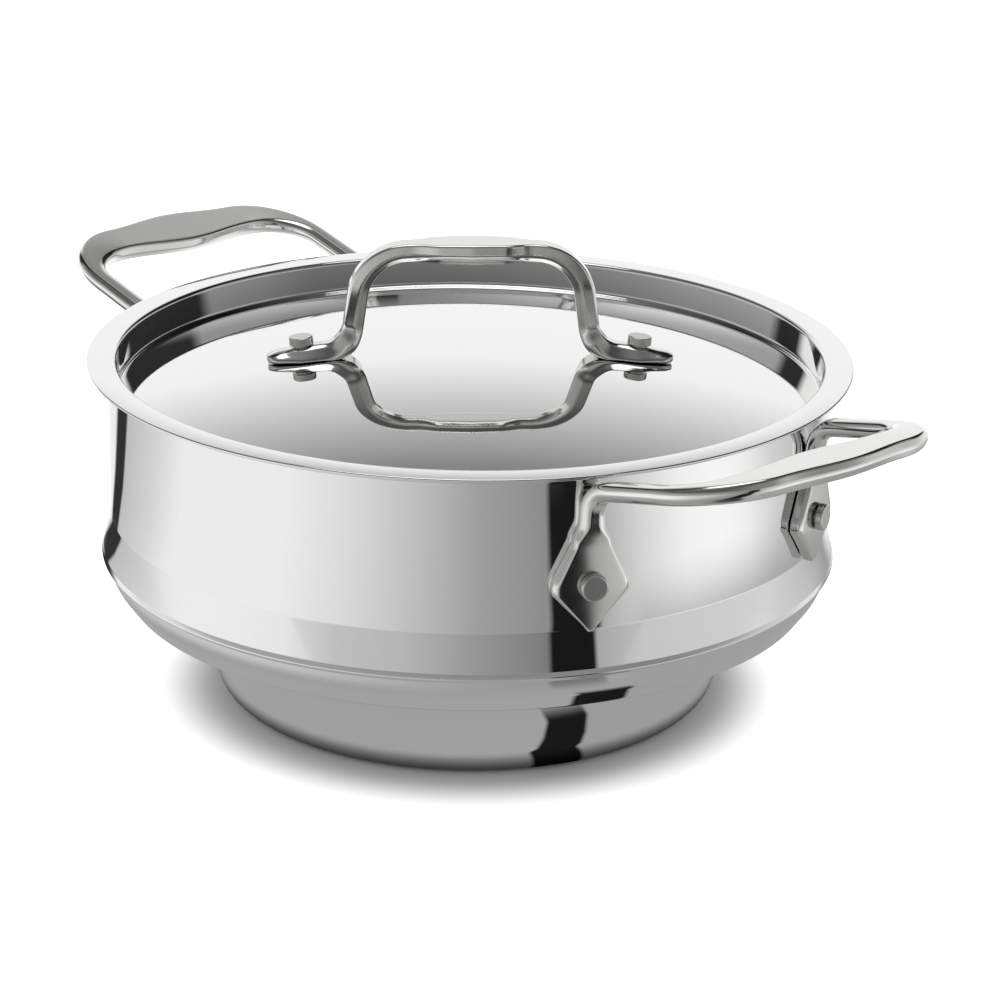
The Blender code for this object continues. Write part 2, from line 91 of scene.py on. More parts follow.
class ShaderBuilder:
    """Adds and joins the nodes of one shader tree."""

    def __init__(self, tree: bpy.types.NodeTree) -> None:
        """Takes the tree to build in."""
        self.tree = tree

    def feed(self, node: bpy.types.Node, inputs: dict[str | int, object]) -> None:
        """Sets a node's inputs.

        Args:
            node: the node.
            inputs: a value, or a socket to read, for each input's name or number.
        """
        for name, value in inputs.items():
            if isinstance(value, Socket):
                self.tree.links.new(value, node.inputs[name])
            else:
                node.inputs[name].default_value = value

    def add(
        self, kind: str, inputs: dict[str | int, object] | None = None, **settings: object
    ) -> bpy.types.Node:
        """Adds a node.

        Args:
            kind: the node's type.
            inputs: what its inputs are fed.
            **settings: property names and their values.

        Returns:
            The new node.
        """
        node = self.tree.nodes.new(kind)
        for name, value in settings.items():
            setattr(node, name, value)
        self.feed(node, inputs or {})
        return node

    def math(self, operation: str, *values: Value) -> Socket:
        """The output of a new Math node."""
        return self.add("ShaderNodeMath", dict(enumerate(values)), operation=operation).outputs[0]

    def length(self, place: Socket) -> Socket:
        """The length of a vector."""
        return self.add("ShaderNodeVectorMath", {0: place}, operation="LENGTH").outputs["Value"]

    def split(self, place: Socket) -> Sequence[Socket]:
        """The X, Y and Z of a vector."""
        return self.add("ShaderNodeSeparateXYZ", {0: place}).outputs

    def vector(self, *parts: Value) -> Socket:
        """A vector from its X, Y and Z."""
        return self.add("ShaderNodeCombineXYZ", dict(enumerate(parts))).outputs[0]

    def stored(self, name: str) -> Socket:
        """A number that is stored on the piece's points."""
        return self.add("ShaderNodeAttribute", attribute_name=name).outputs["Fac"]

    def eased(self, value: Socket, start: Value, end: Value) -> Socket:
        """A smooth step from 0 at start to 1 at end."""
        limits = {"Value": value, "From Min": start, "From Max": end}
        return self.add("ShaderNodeMapRange", limits, interpolation_type="SMOOTHSTEP").outputs["Result"]

    def mixed(self, share: Value, first: object, second: object, kind: str = "FLOAT") -> Socket:
        """A blend of two values or colours, by how much of the second there is."""
        parts = {"Factor": share, "A": first, "B": second}
        return self.add("ShaderNodeMix", parts, data_type=kind).outputs["Result"]

    def ramp(self, source: Socket, stops: Stops, start: float, end: float) -> Socket:
        """Adds a grey colour ramp.

        Args:
            source: the value that it reads.
            stops: (value, grey level) pairs in order.
            start: the value at which the ramp starts.
            end: the value at which it ends.

        Returns:
            Its colour output.
        """
        share = self.math("DIVIDE", self.math("SUBTRACT", source, start), end - start)
        node = self.add("ShaderNodeValToRGB", {0: share})
        elements = node.color_ramp.elements
        while len(elements) > 1:
            elements.remove(elements[-1])
        for index, (value, level) in enumerate(stops):
            place = (value - start) / (end - start)
            element = elements.new(place) if index else elements[0]
            element.position = place
            element.color = (level, level, level, 1.0)
        return node.outputs[0]


class GeometryBuilder(ShaderBuilder):
    """Adds and joins the nodes of one geometry tree, which has named inputs for its sizes."""

    def __init__(self, name: str, **options: str) -> None:
        """Makes an empty tree that takes and gives a mesh.

        Args:
            name: the tree's name.
            **options: each further input's kind, such as Float, Int or Object.
        """
        super().__init__(bpy.data.node_groups.new(name, "GeometryNodeTree"))
        faces = self.tree.interface
        for title, kind in {"Geometry": "Geometry", **options, "Material": "Material"}.items():
            faces.new_socket(title, in_out="INPUT", socket_type="NodeSocket" + kind)
        faces.new_socket("Geometry", in_out="OUTPUT", socket_type="NodeSocketGeometry")
        self.start = self.add("NodeGroupInput")

    def given(self, name: str) -> Socket:
        """The socket that reads a named input inside the tree."""
        return self.start.outputs[name]

    def grid(self, rows: Socket, columns: Socket) -> tuple[Socket, Socket, Socket]:
        """A grid of points.

        Args:
            rows: how many rows it has.
            columns: how many points each row has.

        Returns:
            Its mesh, and the row and the column of each point, counted from 0.
        """
        mesh = self.add("GeometryNodeMeshGrid", {"Vertices X": rows, "Vertices Y": columns})
        index = self.add("GeometryNodeInputIndex").outputs[0]
        row = self.math("FLOOR", self.math("DIVIDE", self.math("ADD", index, 0.5), columns))
        column = self.math("SUBTRACT", index, self.math("MULTIPLY", row, columns))
        return mesh.outputs["Mesh"], row, column

    def moved(self, mesh: Socket, place: Socket, angle: Socket) -> Socket:
        """A mesh with its points moved to places that are turned about Z.

        Args:
            mesh: the mesh.
            place: where each point goes.
            angle: how far that place is turned.

        Returns:
            The moved mesh.
        """
        turn = {"Vector": place, "Angle": angle}
        turned = self.add("ShaderNodeVectorRotate", turn, rotation_type="Z_AXIS")
        inputs = {"Geometry": mesh, "Position": turned.outputs["Vector"]}
        return self.add("GeometryNodeSetPosition", inputs).outputs["Geometry"]

    def finish(self, geometry: Socket) -> bpy.types.NodeTree:
        """Ends the tree in Realize Instances and Set Material.

        Args:
            geometry: the geometry to give out.

        Returns:
            The tree.
        """
        realized = self.add("GeometryNodeRealizeInstances", {"Geometry": geometry})
        inputs = {"Geometry": realized.outputs["Geometry"], "Material": self.given("Material")}
        coated = self.add("GeometryNodeSetMaterial", inputs)
        self.add("NodeGroupOutput", {"Geometry": coated.outputs["Geometry"]})
        return self.tree


def turning_tree() -> bpy.types.NodeTree:
    """A tree that turns a closed outline round Z.

    Its mesh holds the outline's points in order, as (radius, 0, height), with the first one again at
    the end.

    Returns:
        The geometry tree, with inputs Steps and Material.
    """
    build = GeometryBuilder("turned_from_outline", Steps="Int")
    outline = build.given("Geometry")
    size = build.add("GeometryNodeAttributeDomainSize", {"Geometry": outline})
    columns = build.math("ADD", build.given("Steps"), 1)
    grid, row, column = build.grid(size.outputs["Point Count"], columns)
    place = build.add("GeometryNodeInputPosition").outputs[0]
    sample = build.add("GeometryNodeSampleIndex", data_type="FLOAT_VECTOR", domain="POINT")
    build.feed(sample, {"Geometry": outline, "Value": place, "Index": row})
    angle = build.math("MULTIPLY", build.math("DIVIDE", column, build.given("Steps")), math.tau)
    turned = build.moved(grid, sample.outputs["Value"], angle)
    closed = build.add("GeometryNodeMergeByDistance", {"Geometry": turned, "Distance": SEAM_GAP})
    return build.finish(closed.outputs["Geometry"])


def perforating_tree() -> bpy.types.NodeTree:
    """A tree that drills a hexagonal field of round holes through a base.

    Returns:
        The geometry tree, with inputs Pitch, Turn, Radius, Depth, Rings, Sides and Material.
    """
    lengths = dict.fromkeys(("Pitch", "Turn", "Radius", "Depth"), "Float")
    build = GeometryBuilder("perforated_base", **lengths, Rings="Int", Sides="Int")
    pitch = build.given("Pitch")
    rings = build.given("Rings")
    side = build.math("ADD", build.math("MULTIPLY", rings, 2), 1)
    grid, row, column = build.grid(side, side)
    row = build.math("SUBTRACT", row, rings)
    column = build.math("SUBTRACT", column, rings)
    across = build.math("MULTIPLY", build.math("ADD", column, build.math("DIVIDE", row, 2)), pitch)
    ahead = build.math("MULTIPLY", build.math("MULTIPLY", row, math.sqrt(3) / 2), pitch)
    points = build.moved(grid, build.vector(across, ahead), build.given("Turn"))
    outside = build.math("GREATER_THAN", build.math("ABSOLUTE", build.math("ADD", row, column)), rings)
    kept = build.add("GeometryNodeDeleteGeometry", domain="POINT")
    build.feed(kept, {"Geometry": points, "Selection": outside})
    bit = {"Vertices": "Sides", "Radius": "Radius", "Depth": "Depth"}
    drill = build.add(
        "GeometryNodeMeshCylinder", {size: build.given(name) for size, name in bit.items()}
    )
    inputs = {"Points": kept.outputs["Geometry"], "Instance": drill.outputs["Mesh"]}
    drills = build.add("GeometryNodeInstanceOnPoints", inputs)
    cut = build.add("GeometryNodeMeshBoolean", operation="DIFFERENCE", solver="EXACT")
    build.feed(cut, {"Mesh 1": build.given("Geometry"), "Mesh 2": drills.outputs["Instances"]})
    return build.finish(cut.outputs["Mesh"])


def riveting_tree() -> bpy.types.NodeTree:
    """A tree that sets one rivet at each point of its mesh, along the normal stored there.

    Returns:
        The geometry tree, with inputs Rivet and Material.
    """
    build = GeometryBuilder("set_rivets", Rivet="Object")
    rivet = build.add("GeometryNodeObjectInfo", {"Object": build.given("Rivet")})
    axis = build.add("GeometryNodeInputNamedAttribute", data_type="FLOAT_VECTOR")
    build.feed(axis, {"Name": RIVET_AXIS})
    align = build.add("FunctionNodeAlignRotationToVector", axis="Z")
    build.feed(align, {"Vector": axis.outputs["Attribute"]})
    inputs = {
        "Points": build.given("Geometry"),
        "Instance": rivet.outputs["Geometry"],
        "Rotation": align.outputs["Rotation"],
    }
    return build.finish(build.add("GeometryNodeInstanceOnPoints", inputs).outputs["Instances"])


def placed(name: str, data: bpy.types.ID) -> bpy.types.Object:
    """Puts a new object in the scene.

    Args:
        name: the object's name.
        data: its mesh, light or camera.

    Returns:
        The object.
    """
    made = bpy.data.objects.new(name, data)
    bpy.context.scene.collection.objects.link(made)
    return made


def put_through(
    made: bpy.types.Object, tree: bpy.types.NodeTree, options: dict[str, object]
) -> None:
    """Runs an object's mesh through a geometry tree and keeps the result as a plain mesh.

    Args:
        made: the object, whose mesh is replaced.
        tree: the geometry tree.
        options: the tree's inputs by name.
    """
    modifier = made.modifiers.new(tree.name, "NODES")
    modifier.node_group = tree
    for item in tree.interface.items_tree:
        if item.in_out == "INPUT" and item.name in options:
            modifier[item.identifier] = options[item.name]
    keep_modified(made)


def keep_modified(made: bpy.types.Object) -> None:
    """Replaces an object's mesh with what its modifiers make of it, and drops them.

    Args:
        made: the object.
    """
    bpy.context.view_layer.update()
    graph = bpy.context.evaluated_depsgraph_get()
    mesh = bpy.data.meshes.new_from_object(
        made.evaluated_get(graph), preserve_all_data_layers=True, depsgraph=graph
    )
    made.modifiers.clear()
    made.data = mesh
    mesh.name = made.name


# Outlines and surfaces


def rounded(
    corners: Sequence[tuple[Sequence[float], float]], longest_turn: float, lead: float = 0.0
) -> list[Vector]:
    """Points along straight runs whose corners are arcs.

    Args:
        corners: (place, corner radius) pairs in order.
        longest_turn: the most that two points of an arc turn by.
        lead: how far an extra point stands from each end of an arc, to keep the runs flat, or 0 for
            no such points.

    Returns:
        The points.
    """
    points: list[Vector] = []
    for index, (place, radius) in enumerate(corners):
        here = Vector(place)
        if not radius or index in (0, len(corners) - 1):
            points.append(here)
            continue
        sides = [Vector(corners[index + way][0]) - here for way in (-1, 1)]
        back, ahead = (side.normalized() for side in sides)
        half = back.angle(ahead) / 2
        turn = math.pi - 2 * half
        reach = radius / math.tan(half)
        centre = here + (back + ahead).normalized() * (radius / math.sin(half))
        start = here + back * reach - centre
        across = here + ahead * reach - centre
        led = [bool(lead) and side.length > 2 * (reach + lead) for side in sides]
        if led[0]:
            points.append(here + back * (reach + lead))
        steps = max(3, math.ceil(turn / longest_turn))
        for step in range(steps + 1):
            share = step / steps
            weight = math.sin((1 - share) * turn) * start + math.sin(share * turn) * across
            points.append(centre + weight / math.sin(turn))
        if led[1]:
            points.append(here + ahead * (reach + lead))
    return points


def inner_side(points: Sequence[Vector], sheet: float) -> list[Vector]:
    """The other face of a sheet whose first face runs through these points.

    Args:
        points: the first face's points.
        sheet: the sheet's thickness.

    Returns:
        As many points, the sheet's thickness away.
    """
    runs = [(b - a).normalized() for a, b in zip(points, points[1:])]
    sides = [Vector((run.y, -run.x)) for run in runs]
    moved = []
    for index, point in enumerate(points):
        before = sides[max(index - 1, 0)]
        after = sides[min(index, len(sides) - 1)]
        middle = (before + after).normalized()
        moved.append(point + middle * (sheet / middle.dot(after)))
    return moved


def nose(first: Vector, last: Vector) -> list[Vector]:
    """Points of a half round from one face of a sheet's edge to the other, ends left out.

    Args:
        first: the corner that it starts from.
        last: the corner that it ends at.

    Returns:
        The points between.
    """
    middle = (first + last) / 2
    arm = first - middle
    out = Vector((arm.length, 0.0))
    turns = [math.pi * step / NOSE_STEPS for step in range(1, NOSE_STEPS)]
    return [middle + arm * math.cos(turn) + out * math.sin(turn) for turn in turns]


def turned_piece(
    name: str, points: Sequence[Vector], steps: int, material: bpy.types.Material
) -> bpy.types.Object:
    """A piece turned round Z from its closed outline.

    Args:
        name: the piece's name.
        points: the outline's (radius, height) points.
        steps: how many flat sides a turn has.
        material: its finish.

    Returns:
        The piece.
    """
    mesh = bpy.data.meshes.new(name)
    edges = [(index, index + 1) for index in range(len(points))]
    mesh.from_pydata([(point.x, 0.0, point.y) for point in [*points, points[0]]], edges, [])
    made = placed(name, mesh)
    put_through(made, turning_tree(), {"Steps": steps, "Material": material})
    return made


def face_outwards(mesh: bpy.types.Mesh) -> None:
    """Turns a closed mesh's faces round if they point inwards.

    Args:
        mesh: the mesh.
    """
    shape = bmesh.new()
    shape.from_mesh(mesh)
    if shape.calc_volume(signed=True) < 0:
        bmesh.ops.reverse_faces(shape, faces=shape.faces[:])
    shape.to_mesh(mesh)
    shape.free()


def settle(made: bpy.types.Object, crease: float, body: str, slot: Slot, *nodes: str) -> None:
    """Shades a finished piece smooth and hands it to the frame.

    Args:
        made: the piece.
        crease: the angle past which an edge stays sharp, in degrees.
        body: the body that it rides on.
        slot: the record's material slot; not used.
        *nodes: the solids that it stands for.
    """
    face_outwards(made.data)
    made.data.shade_smooth()
    made.data.set_sharp_from_angle(angle=math.radians(crease))
    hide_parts(*nodes)
    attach(made, body)
    LOG.info("%s: %d faces, rides on %s, stands for %s", made.name, len(made.data.polygons), body, nodes)


# Finishes


@dataclass(frozen=True)
class SteelFinish:
    """A stainless steel surface.

    Fields: name, the colour, the least roughness, how much smudges add to it, how the fine marks
    run, how deep and how wide they are, how much the worn edges are brightened, and then what all
    the finishes share: the smudges' size, depth of detail, strength of detail and range, how dark
    the marks are, how long turned marks run, and the worn edges' colour and polish.
    """

    name: str
    colour: tuple[float, float, float]
    roughness: float
    smudge: float
    grain: Grain
    mark_depth: float
    mark_width: float
    wear: float = 0.0
    smudge_scale: float = 34.0
    smudge_detail: float = 4.0
    smudge_roughness: float = 0.62
    smudge_range: tuple[float, float] = (0.42, 0.74)
    mark_detail: float = 3.0
    mark_shade: float = 0.95
    mark_stretch: float = 40.0
    worn_colour: tuple[float, ...] = (0.93, 0.93, 0.92, 1.0)
    worn_polish: float = 0.45

    def material(self) -> bpy.types.Material:
        """Builds the material.

        Returns:
            A Principled metal whose colour, roughness and bump come from its nodes.
        """
        made = bpy.data.materials.new(self.name)
        made.use_nodes = True
        made.diffuse_color = (*self.colour, 1.0)
        build = ShaderBuilder(made.node_tree)
        place = build.add("ShaderNodeTexCoord").outputs["Object"]
        marks = self.marks(build, place)
        dark = (*(self.mark_shade * part for part in self.colour), 1.0)
        colour = build.mixed(marks, (*self.colour, 1.0), dark, "RGBA")
        gloss = self.gloss(build, place)
        if self.wear:
            edge = build.stored(EDGE)
            rubbed = build.math("MULTIPLY", edge, self.wear)
            colour = build.mixed(rubbed, colour, self.worn_colour, "RGBA")
            smoother = build.math("MULTIPLY", edge, -self.worn_polish * self.wear)
            gloss = build.math("MULTIPLY", gloss, build.math("ADD", smoother, 1.0))
        bump = build.add("ShaderNodeBump", {"Strength": 1.0, "Distance": self.mark_depth, "Height": marks})
        surface = {
            "Metallic": 1.0,
            "Roughness": gloss,
            "Base Color": colour,
            "Normal": bump.outputs["Normal"],
        }
        build.feed(made.node_tree.nodes["Principled BSDF"], surface)
        return made

    def gloss(self, build: ShaderBuilder, place: Socket) -> Socket:
        """The roughness, which faint smudges raise.

        Args:
            build: the material's builder.
            place: Object coordinates.

        Returns:
            The roughness.
        """
        cloud = {
            "Vector": place,
            "Scale": self.smudge_scale,
            "Detail": self.smudge_detail,
            "Roughness": self.smudge_roughness,
        }
        haze = {
            "Value": build.add("ShaderNodeTexNoise", cloud).outputs["Fac"],
            "From Min": self.smudge_range[0],
            "From Max": self.smudge_range[1],
            "To Min": self.roughness,
            "To Max": self.roughness + self.smudge,
        }
        return build.add("ShaderNodeMapRange", haze).outputs["Result"]

    def marks(self, build: ShaderBuilder, place: Socket) -> Socket:
        """The fine marks of polishing or casting.

        Args:
            build: the material's builder.
            place: Object coordinates.

        Returns:
            A height from 0 to 1.
        """
        noise = {"Detail": self.mark_detail, "Scale": 1.0 / self.mark_width}
        if self.grain is Grain.FACED:
            rings = build.add("ShaderNodeTexNoise", noise_dimensions="1D")
            build.feed(rings, {**noise, "W": build.stored(REACH)})
            return rings.outputs["Fac"]
        if self.grain is Grain.TURNED:
            x, y, z = build.split(place)
            squares = build.math("ADD", build.math("MULTIPLY", x, x), build.math("MULTIPLY", y, y))
            radius = build.math("SQRT", squares)
            safe = build.math("MAXIMUM", radius, 1e-4)
            stretch = self.mark_stretch * self.mark_width
            x, y = (build.math("MULTIPLY", build.math("DIVIDE", part, safe), stretch) for part in (x, y))
            place = build.vector(x, y, build.math("ADD", z, radius))
        return build.add("ShaderNodeTexNoise", {**noise, "Vector": place}).outputs["Fac"]


SHELL_FINISH = SteelFinish(
    "mirror_polished_shell", (0.84, 0.84, 0.835), 0.030, 0.02, Grain.TURNED, 1.2e-7, 0.00035
)
LID_FINISH = SteelFinish(
    "mirror_polished_lid", (0.86, 0.86, 0.855), 0.030, 0.02, Grain.TURNED, 1.0e-7, 0.00035
)
HANDLE_FINISH = SteelFinish(
    "satin_cast_handle", (0.74, 0.735, 0.72), 0.11, 0.06, Grain.CAST, 4.0e-6, 0.0006, 0.7
)
RIVET_FINISH = SteelFinish(
    "satin_faced_rivet", (0.62, 0.62, 0.61), 0.27, 0.08, Grain.FACED, 4.0e-6, 0.00022
)


# Pot and lid sheets


@dataclass(frozen=True)
class PotShell:
    """The drawn shell: lip, wall, flared band, bead, step, lower drum and perforated base."""

    sheet: float = 0.0009
    base_corner: float = 0.0090
    drum_foot_radius: float = 0.0769
    drum_top_radius: float = 0.0786
    drum_cove: float = 0.0018
    step_height: float = 0.0335
    step_radius: float = 0.1044
    step_corner: float = 0.0015
    shoulder_radius: float = 0.1093
    shoulder_height: float = 0.0403
    shoulder_curve: float = 0.0090
    groove_radius: float = 0.10975
    groove_height: float = 0.0444
    groove_corner: float = 0.0004
    bead_radius: float = 0.1118
    bead_height: float = 0.0456
    bead_corner: float = 0.0006
    band_foot_radius: float = 0.1111
    band_foot: float = 0.0473
    band_foot_corner: float = 0.0004
    band_top: float = 0.0585
    band_top_corner: float = 0.0010
    wall_radius: float = 0.1087
    rim_height: float = 0.1048
    lip_radius: float = 0.1128
    lip_corner: float = 0.0016
    hole_diameter: float = 0.0054
    hole_pitch: float = 0.0130
    hole_rings: int = 4
    hole_turn: float = math.radians(4.0)
    hole_sides: int = 28
    drill_depth: float = 0.0054
    steps: int = 224
    arc_step: float = math.radians(9.0)
    lead: float = 0.0004

    def outline(self) -> list[Vector]:
        """The shell's closed outline, from the lip down its outer side and back up inside.

        Returns:
            (radius, height) points.
        """
        underside = self.rim_height - self.sheet
        corners = [
            ((self.lip_radius - self.sheet / 2, underside), 0),
            ((self.wall_radius, underside), self.lip_corner),
            ((self.wall_radius, self.band_top), self.band_top_corner),
            ((self.band_foot_radius, self.band_foot), self.band_foot_corner),
            ((self.bead_radius, self.bead_height), self.bead_corner),
            ((self.groove_radius, self.groove_height), self.groove_corner),
            ((self.shoulder_radius, self.shoulder_height), self.shoulder_curve),
            ((self.step_radius, self.step_height), self.step_corner),
            ((self.drum_top_radius, self.step_height), self.drum_cove),
            ((self.drum_foot_radius, 0.0), self.base_corner),
            ((0.0, 0.0), 0),
        ]
        outer = rounded(corners, self.arc_step, self.lead)
        inner = inner_side(outer, self.sheet)
        return [*outer, *reversed(inner), *nose(inner[0], outer[0])]

    def build(self) -> None:
        """Makes the shell and drills its base."""
        material = SHELL_FINISH.material()
        made = turned_piece("pot_shell", self.outline(), self.steps, material)
        face_outwards(made.data)
        holes = {
            "Pitch": self.hole_pitch,
            "Rings": self.hole_rings,
            "Turn": self.hole_turn,
            "Radius": self.hole_diameter / 2,
            "Sides": self.hole_sides,
            "Depth": self.drill_depth,
            "Material": material,
        }
        put_through(made, perforating_tree(), holes)
        nodes = ("steamer_body", "lower_drum", "perforated_base")
        settle(made, SHEET_CREASE, POT_BODY, Slot.SHELL, *nodes)


@dataclass(frozen=True)
class LidShell:
    """The pressed lid: flange, recess wall and shallow dome."""

    sheet: float = 0.0008
    seat_gap: float = 0.0003
    flange_radius: float = 0.1150
    recess_radius: float = 0.1063
    recess_draft: float = 0.0006
    recess_depth: float = 0.0102
    dome_rise: float = 0.0006
    flange_corner: float = 0.0012
    recess_corner: float = 0.0012
    dome_rings: int = 44
    steps: int = 224
    arc_step: float = math.radians(9.0)
    lead: float = 0.0003

    def top(self, rim_height: float) -> float:
        """The height of the flange's top face."""
        return rim_height + self.seat_gap + self.sheet

    def foot_radius(self) -> float:
        """The recess's radius at its foot."""
        return self.recess_radius - self.recess_draft

    def dome_height(self, rim_height: float, radius: float) -> float:
        """The height of the dome's top face at this radius."""
        fall = (self.recess_depth + self.dome_rise) * (radius / self.foot_radius()) ** 2
        return self.top(rim_height) + self.dome_rise - fall

    def dome_slope(self, radius: float) -> float:
        """How steeply the dome falls at this radius."""
        return 2 * (self.recess_depth + self.dome_rise) * radius / self.foot_radius() ** 2

    def outline(self, rim_height: float) -> list[Vector]:
        """The lid's closed outline, from the dome's middle out to the flange and back below.

        Args:
            rim_height: the height of the pot's rim.

        Returns:
            (radius, height) points.
        """
        foot = self.foot_radius()
        top = self.top(rim_height)
        radii = [foot * ring / self.dome_rings for ring in range(self.dome_rings)]
        corners = [
            *(((radius, self.dome_height(rim_height, radius)), 0) for radius in radii),
            ((foot, top - self.recess_depth), self.recess_corner),
            ((self.recess_radius, top), self.flange_corner),
            ((self.flange_radius - self.sheet / 2, top), 0),
        ]
        upper = rounded(corners, self.arc_step, self.lead)
        lower = inner_side(upper, self.sheet)
        lower[0].x = 0.0
        return [*upper, *nose(upper[-1], lower[-1]), *reversed(lower)]

    def build(self, rim_height: float) -> None:
        """Makes the lid's sheet on a rim of this height."""
        made = turned_piece("lid_sheet", self.outline(rim_height), self.steps, LID_FINISH.material())
        settle(made, SHEET_CREASE, LID_BODY, Slot.LID, "lid_shell")


# Handles


SECTION_SIZES = (
    "width", "back", "front", "face_share", "back_share", "shoulder", "corner", "wrap", "lean"
)


@dataclass(frozen=True)
class Section:
    """A handle's cross-section at one place along its route.

    Fields: the distance along, the way its face looks, its full width, its depth behind and before
    the route, the shares of the half width at its face and at its back, where its side is widest as
    a share of the front depth, the corners' radius, the curvature that it is bent to, how much its
    face leans towards the handle's middle, and whether the sizes run in straight lines from here to
    the next section.
    """

    along: float
    face: Vector
    width: float
    back: float
    front: float
    face_share: float = 0.90
    back_share: float = 0.80
    shoulder: float = 0.0
    corner: float = 0.0010
    wrap: float = 0.0
    lean: float = 0.0
    straight: bool = False

    def blended(self, following: Section, along: float) -> Section:
        """The section at a place between this one and the following one.

        Args:
            following: the following section.
            along: the distance along the route.

        Returns:
            The section there.
        """
        share = (along - self.along) / (following.along - self.along)
        eased = share * share * (3 - 2 * share)
        if not self.straight:
            share = eased
        sizes = {}
        for name in SECTION_SIZES:
            here = getattr(self, name)
            sizes[name] = here + (getattr(following, name) - here) * share
        return Section(along, self.face.lerp(following.face, eased), **sizes)


def section_at(sections: Sequence[Section], along: float) -> Section:
    """The section at one place of a handle.

    Args:
        sections: the handle's sections in order.
        along: the distance along its route.

    Returns:
        The section there.
    """
    if along <= sections[0].along:
        return sections[0]
    for low, high in zip(sections, sections[1:]):
        if along <= high.along:
            return low.blended(high, along)
    return sections[-1]


@dataclass(frozen=True)
class LoftDetail:
    """How finely a handle is divided, and how its corners and tips are softened."""

    corner_steps: int = 4
    bend_step: float = math.radians(6.0)
    longest_step: float = 0.0012
    tip_rings: int = 4
    tip_opening: float = 0.6
    run_share: float = 0.47
    sharp_turn: float = math.radians(75.0)
    flat_shares: tuple[float, ...] = (0.05, 0.3, 0.7, 0.95)
    mirror_gap: float = 1e-5


DETAIL = LoftDetail()


def softened_loop(
    corners: Sequence[tuple[float, float]], radius: float
) -> list[tuple[float, float, float]]:
    """A closed loop with softened corners.

    Args:
        corners: (across, depth) corners in order.
        radius: how far a corner is softened.

    Returns:
        (across, depth, edge) points, where edge is 1 on a sharp turn and 0 on a flat run.
    """
    turns = []
    count = len(corners)
    for index in range(count):
        here = Vector(corners[index])
        back = Vector(corners[index - 1]) - here
        ahead = Vector(corners[(index + 1) % count]) - here
        before = here + back.normalized() * min(radius, DETAIL.run_share * back.length)
        after = here + ahead.normalized() * min(radius, DETAIL.run_share * ahead.length)
        sharp = min(1.0, (math.pi - back.angle(ahead)) / DETAIL.sharp_turn)
        turns.append((before, here, after, sharp))
    loop = []
    for index, (before, here, after, sharp) in enumerate(turns):
        for step in range(DETAIL.corner_steps + 1):
            share = step / DETAIL.corner_steps
            point = before.lerp(here, share).lerp(here.lerp(after, share), share)
            loop.append((point.x, point.y, sharp * 4 * share * (1 - share)))
        following = turns[(index + 1) % count][0]
        loop += [(*after.lerp(following, share), 0.0) for share in DETAIL.flat_shares]
    return loop


def ring_of(middle: Vector, travel: Vector, section: Section) -> list[tuple[Vector, float]]:
    """The points of a handle's section round one place of its route.

    Args:
        middle: the place.
        travel: the way that the route runs there.
        section: the section there.

    Returns:
        The points, each with how much of an edge it is.
    """
    across = section.face.cross(travel).normalized()
    face = travel.cross(across).normalized()
    half = section.width / 2
    front = section.front
    right = [
        (half * section.back_share, -section.back),
        (half, section.shoulder * front),
        (half * section.face_share, front),
    ]
    left = [(-x, y) for x, y in reversed(right)]
    ring = []
    for offset, height, edge in softened_loop([*right, *left], section.corner):
        bent = height - section.wrap * offset * offset / 2
        depth = bent - section.lean * offset * max(0.0, height / front)
        ring.append((middle + across * offset + face * depth, edge))
    return ring


def routed(stops: Sequence[tuple[Vector, float]]) -> list[Vector]:
    """A route through stops whose corners are arcs, in steps that are short enough for a loft.

    Args:
        stops: (place, corner radius) pairs in order.

    Returns:
        The route's points.
    """
    route = rounded(stops, DETAIL.bend_step)
    points = [route[0]]
    for before, after in zip(route, route[1:]):
        pieces = max(1, math.ceil((after - before).length / DETAIL.longest_step))
        points += [before.lerp(after, piece / pieces) for piece in range(1, pieces + 1)]
    return points


def lengths_along(route: Sequence[Vector]) -> list[float]:
    """The distance from a route's start to each of its points.

    Args:
        route: the route's points.

    Returns:
        As many distances.
    """
    total = [0.0]
    for before, after in zip(route, route[1:]):
        total.append(total[-1] + (after - before).length)
    return total


def rounded_tip(start: Sequence[tuple[Vector, float]], out: Vector) -> list[list[tuple[Vector, float]]]:
    """The rings that round off a handle's tip.

    Args:
        start: the handle's first ring.
        out: the way that the tip points.

    Returns:
        Rings of points with their edges, from the outermost one in.
    """
    middle = sum((point for point, _ in start), Vector()) / len(start)
    depth = min((point - middle).length for point, _ in start)
    rings = []
    for ring in range(DETAIL.tip_rings, 0, -1):
        turn = math.pi / 2 * ring / (DETAIL.tip_rings + DETAIL.tip_opening)
        push = out * depth * math.sin(turn)
        rings.append([(middle + (point - middle) * math.cos(turn) + push, edge) for point, edge in start])
    return rings


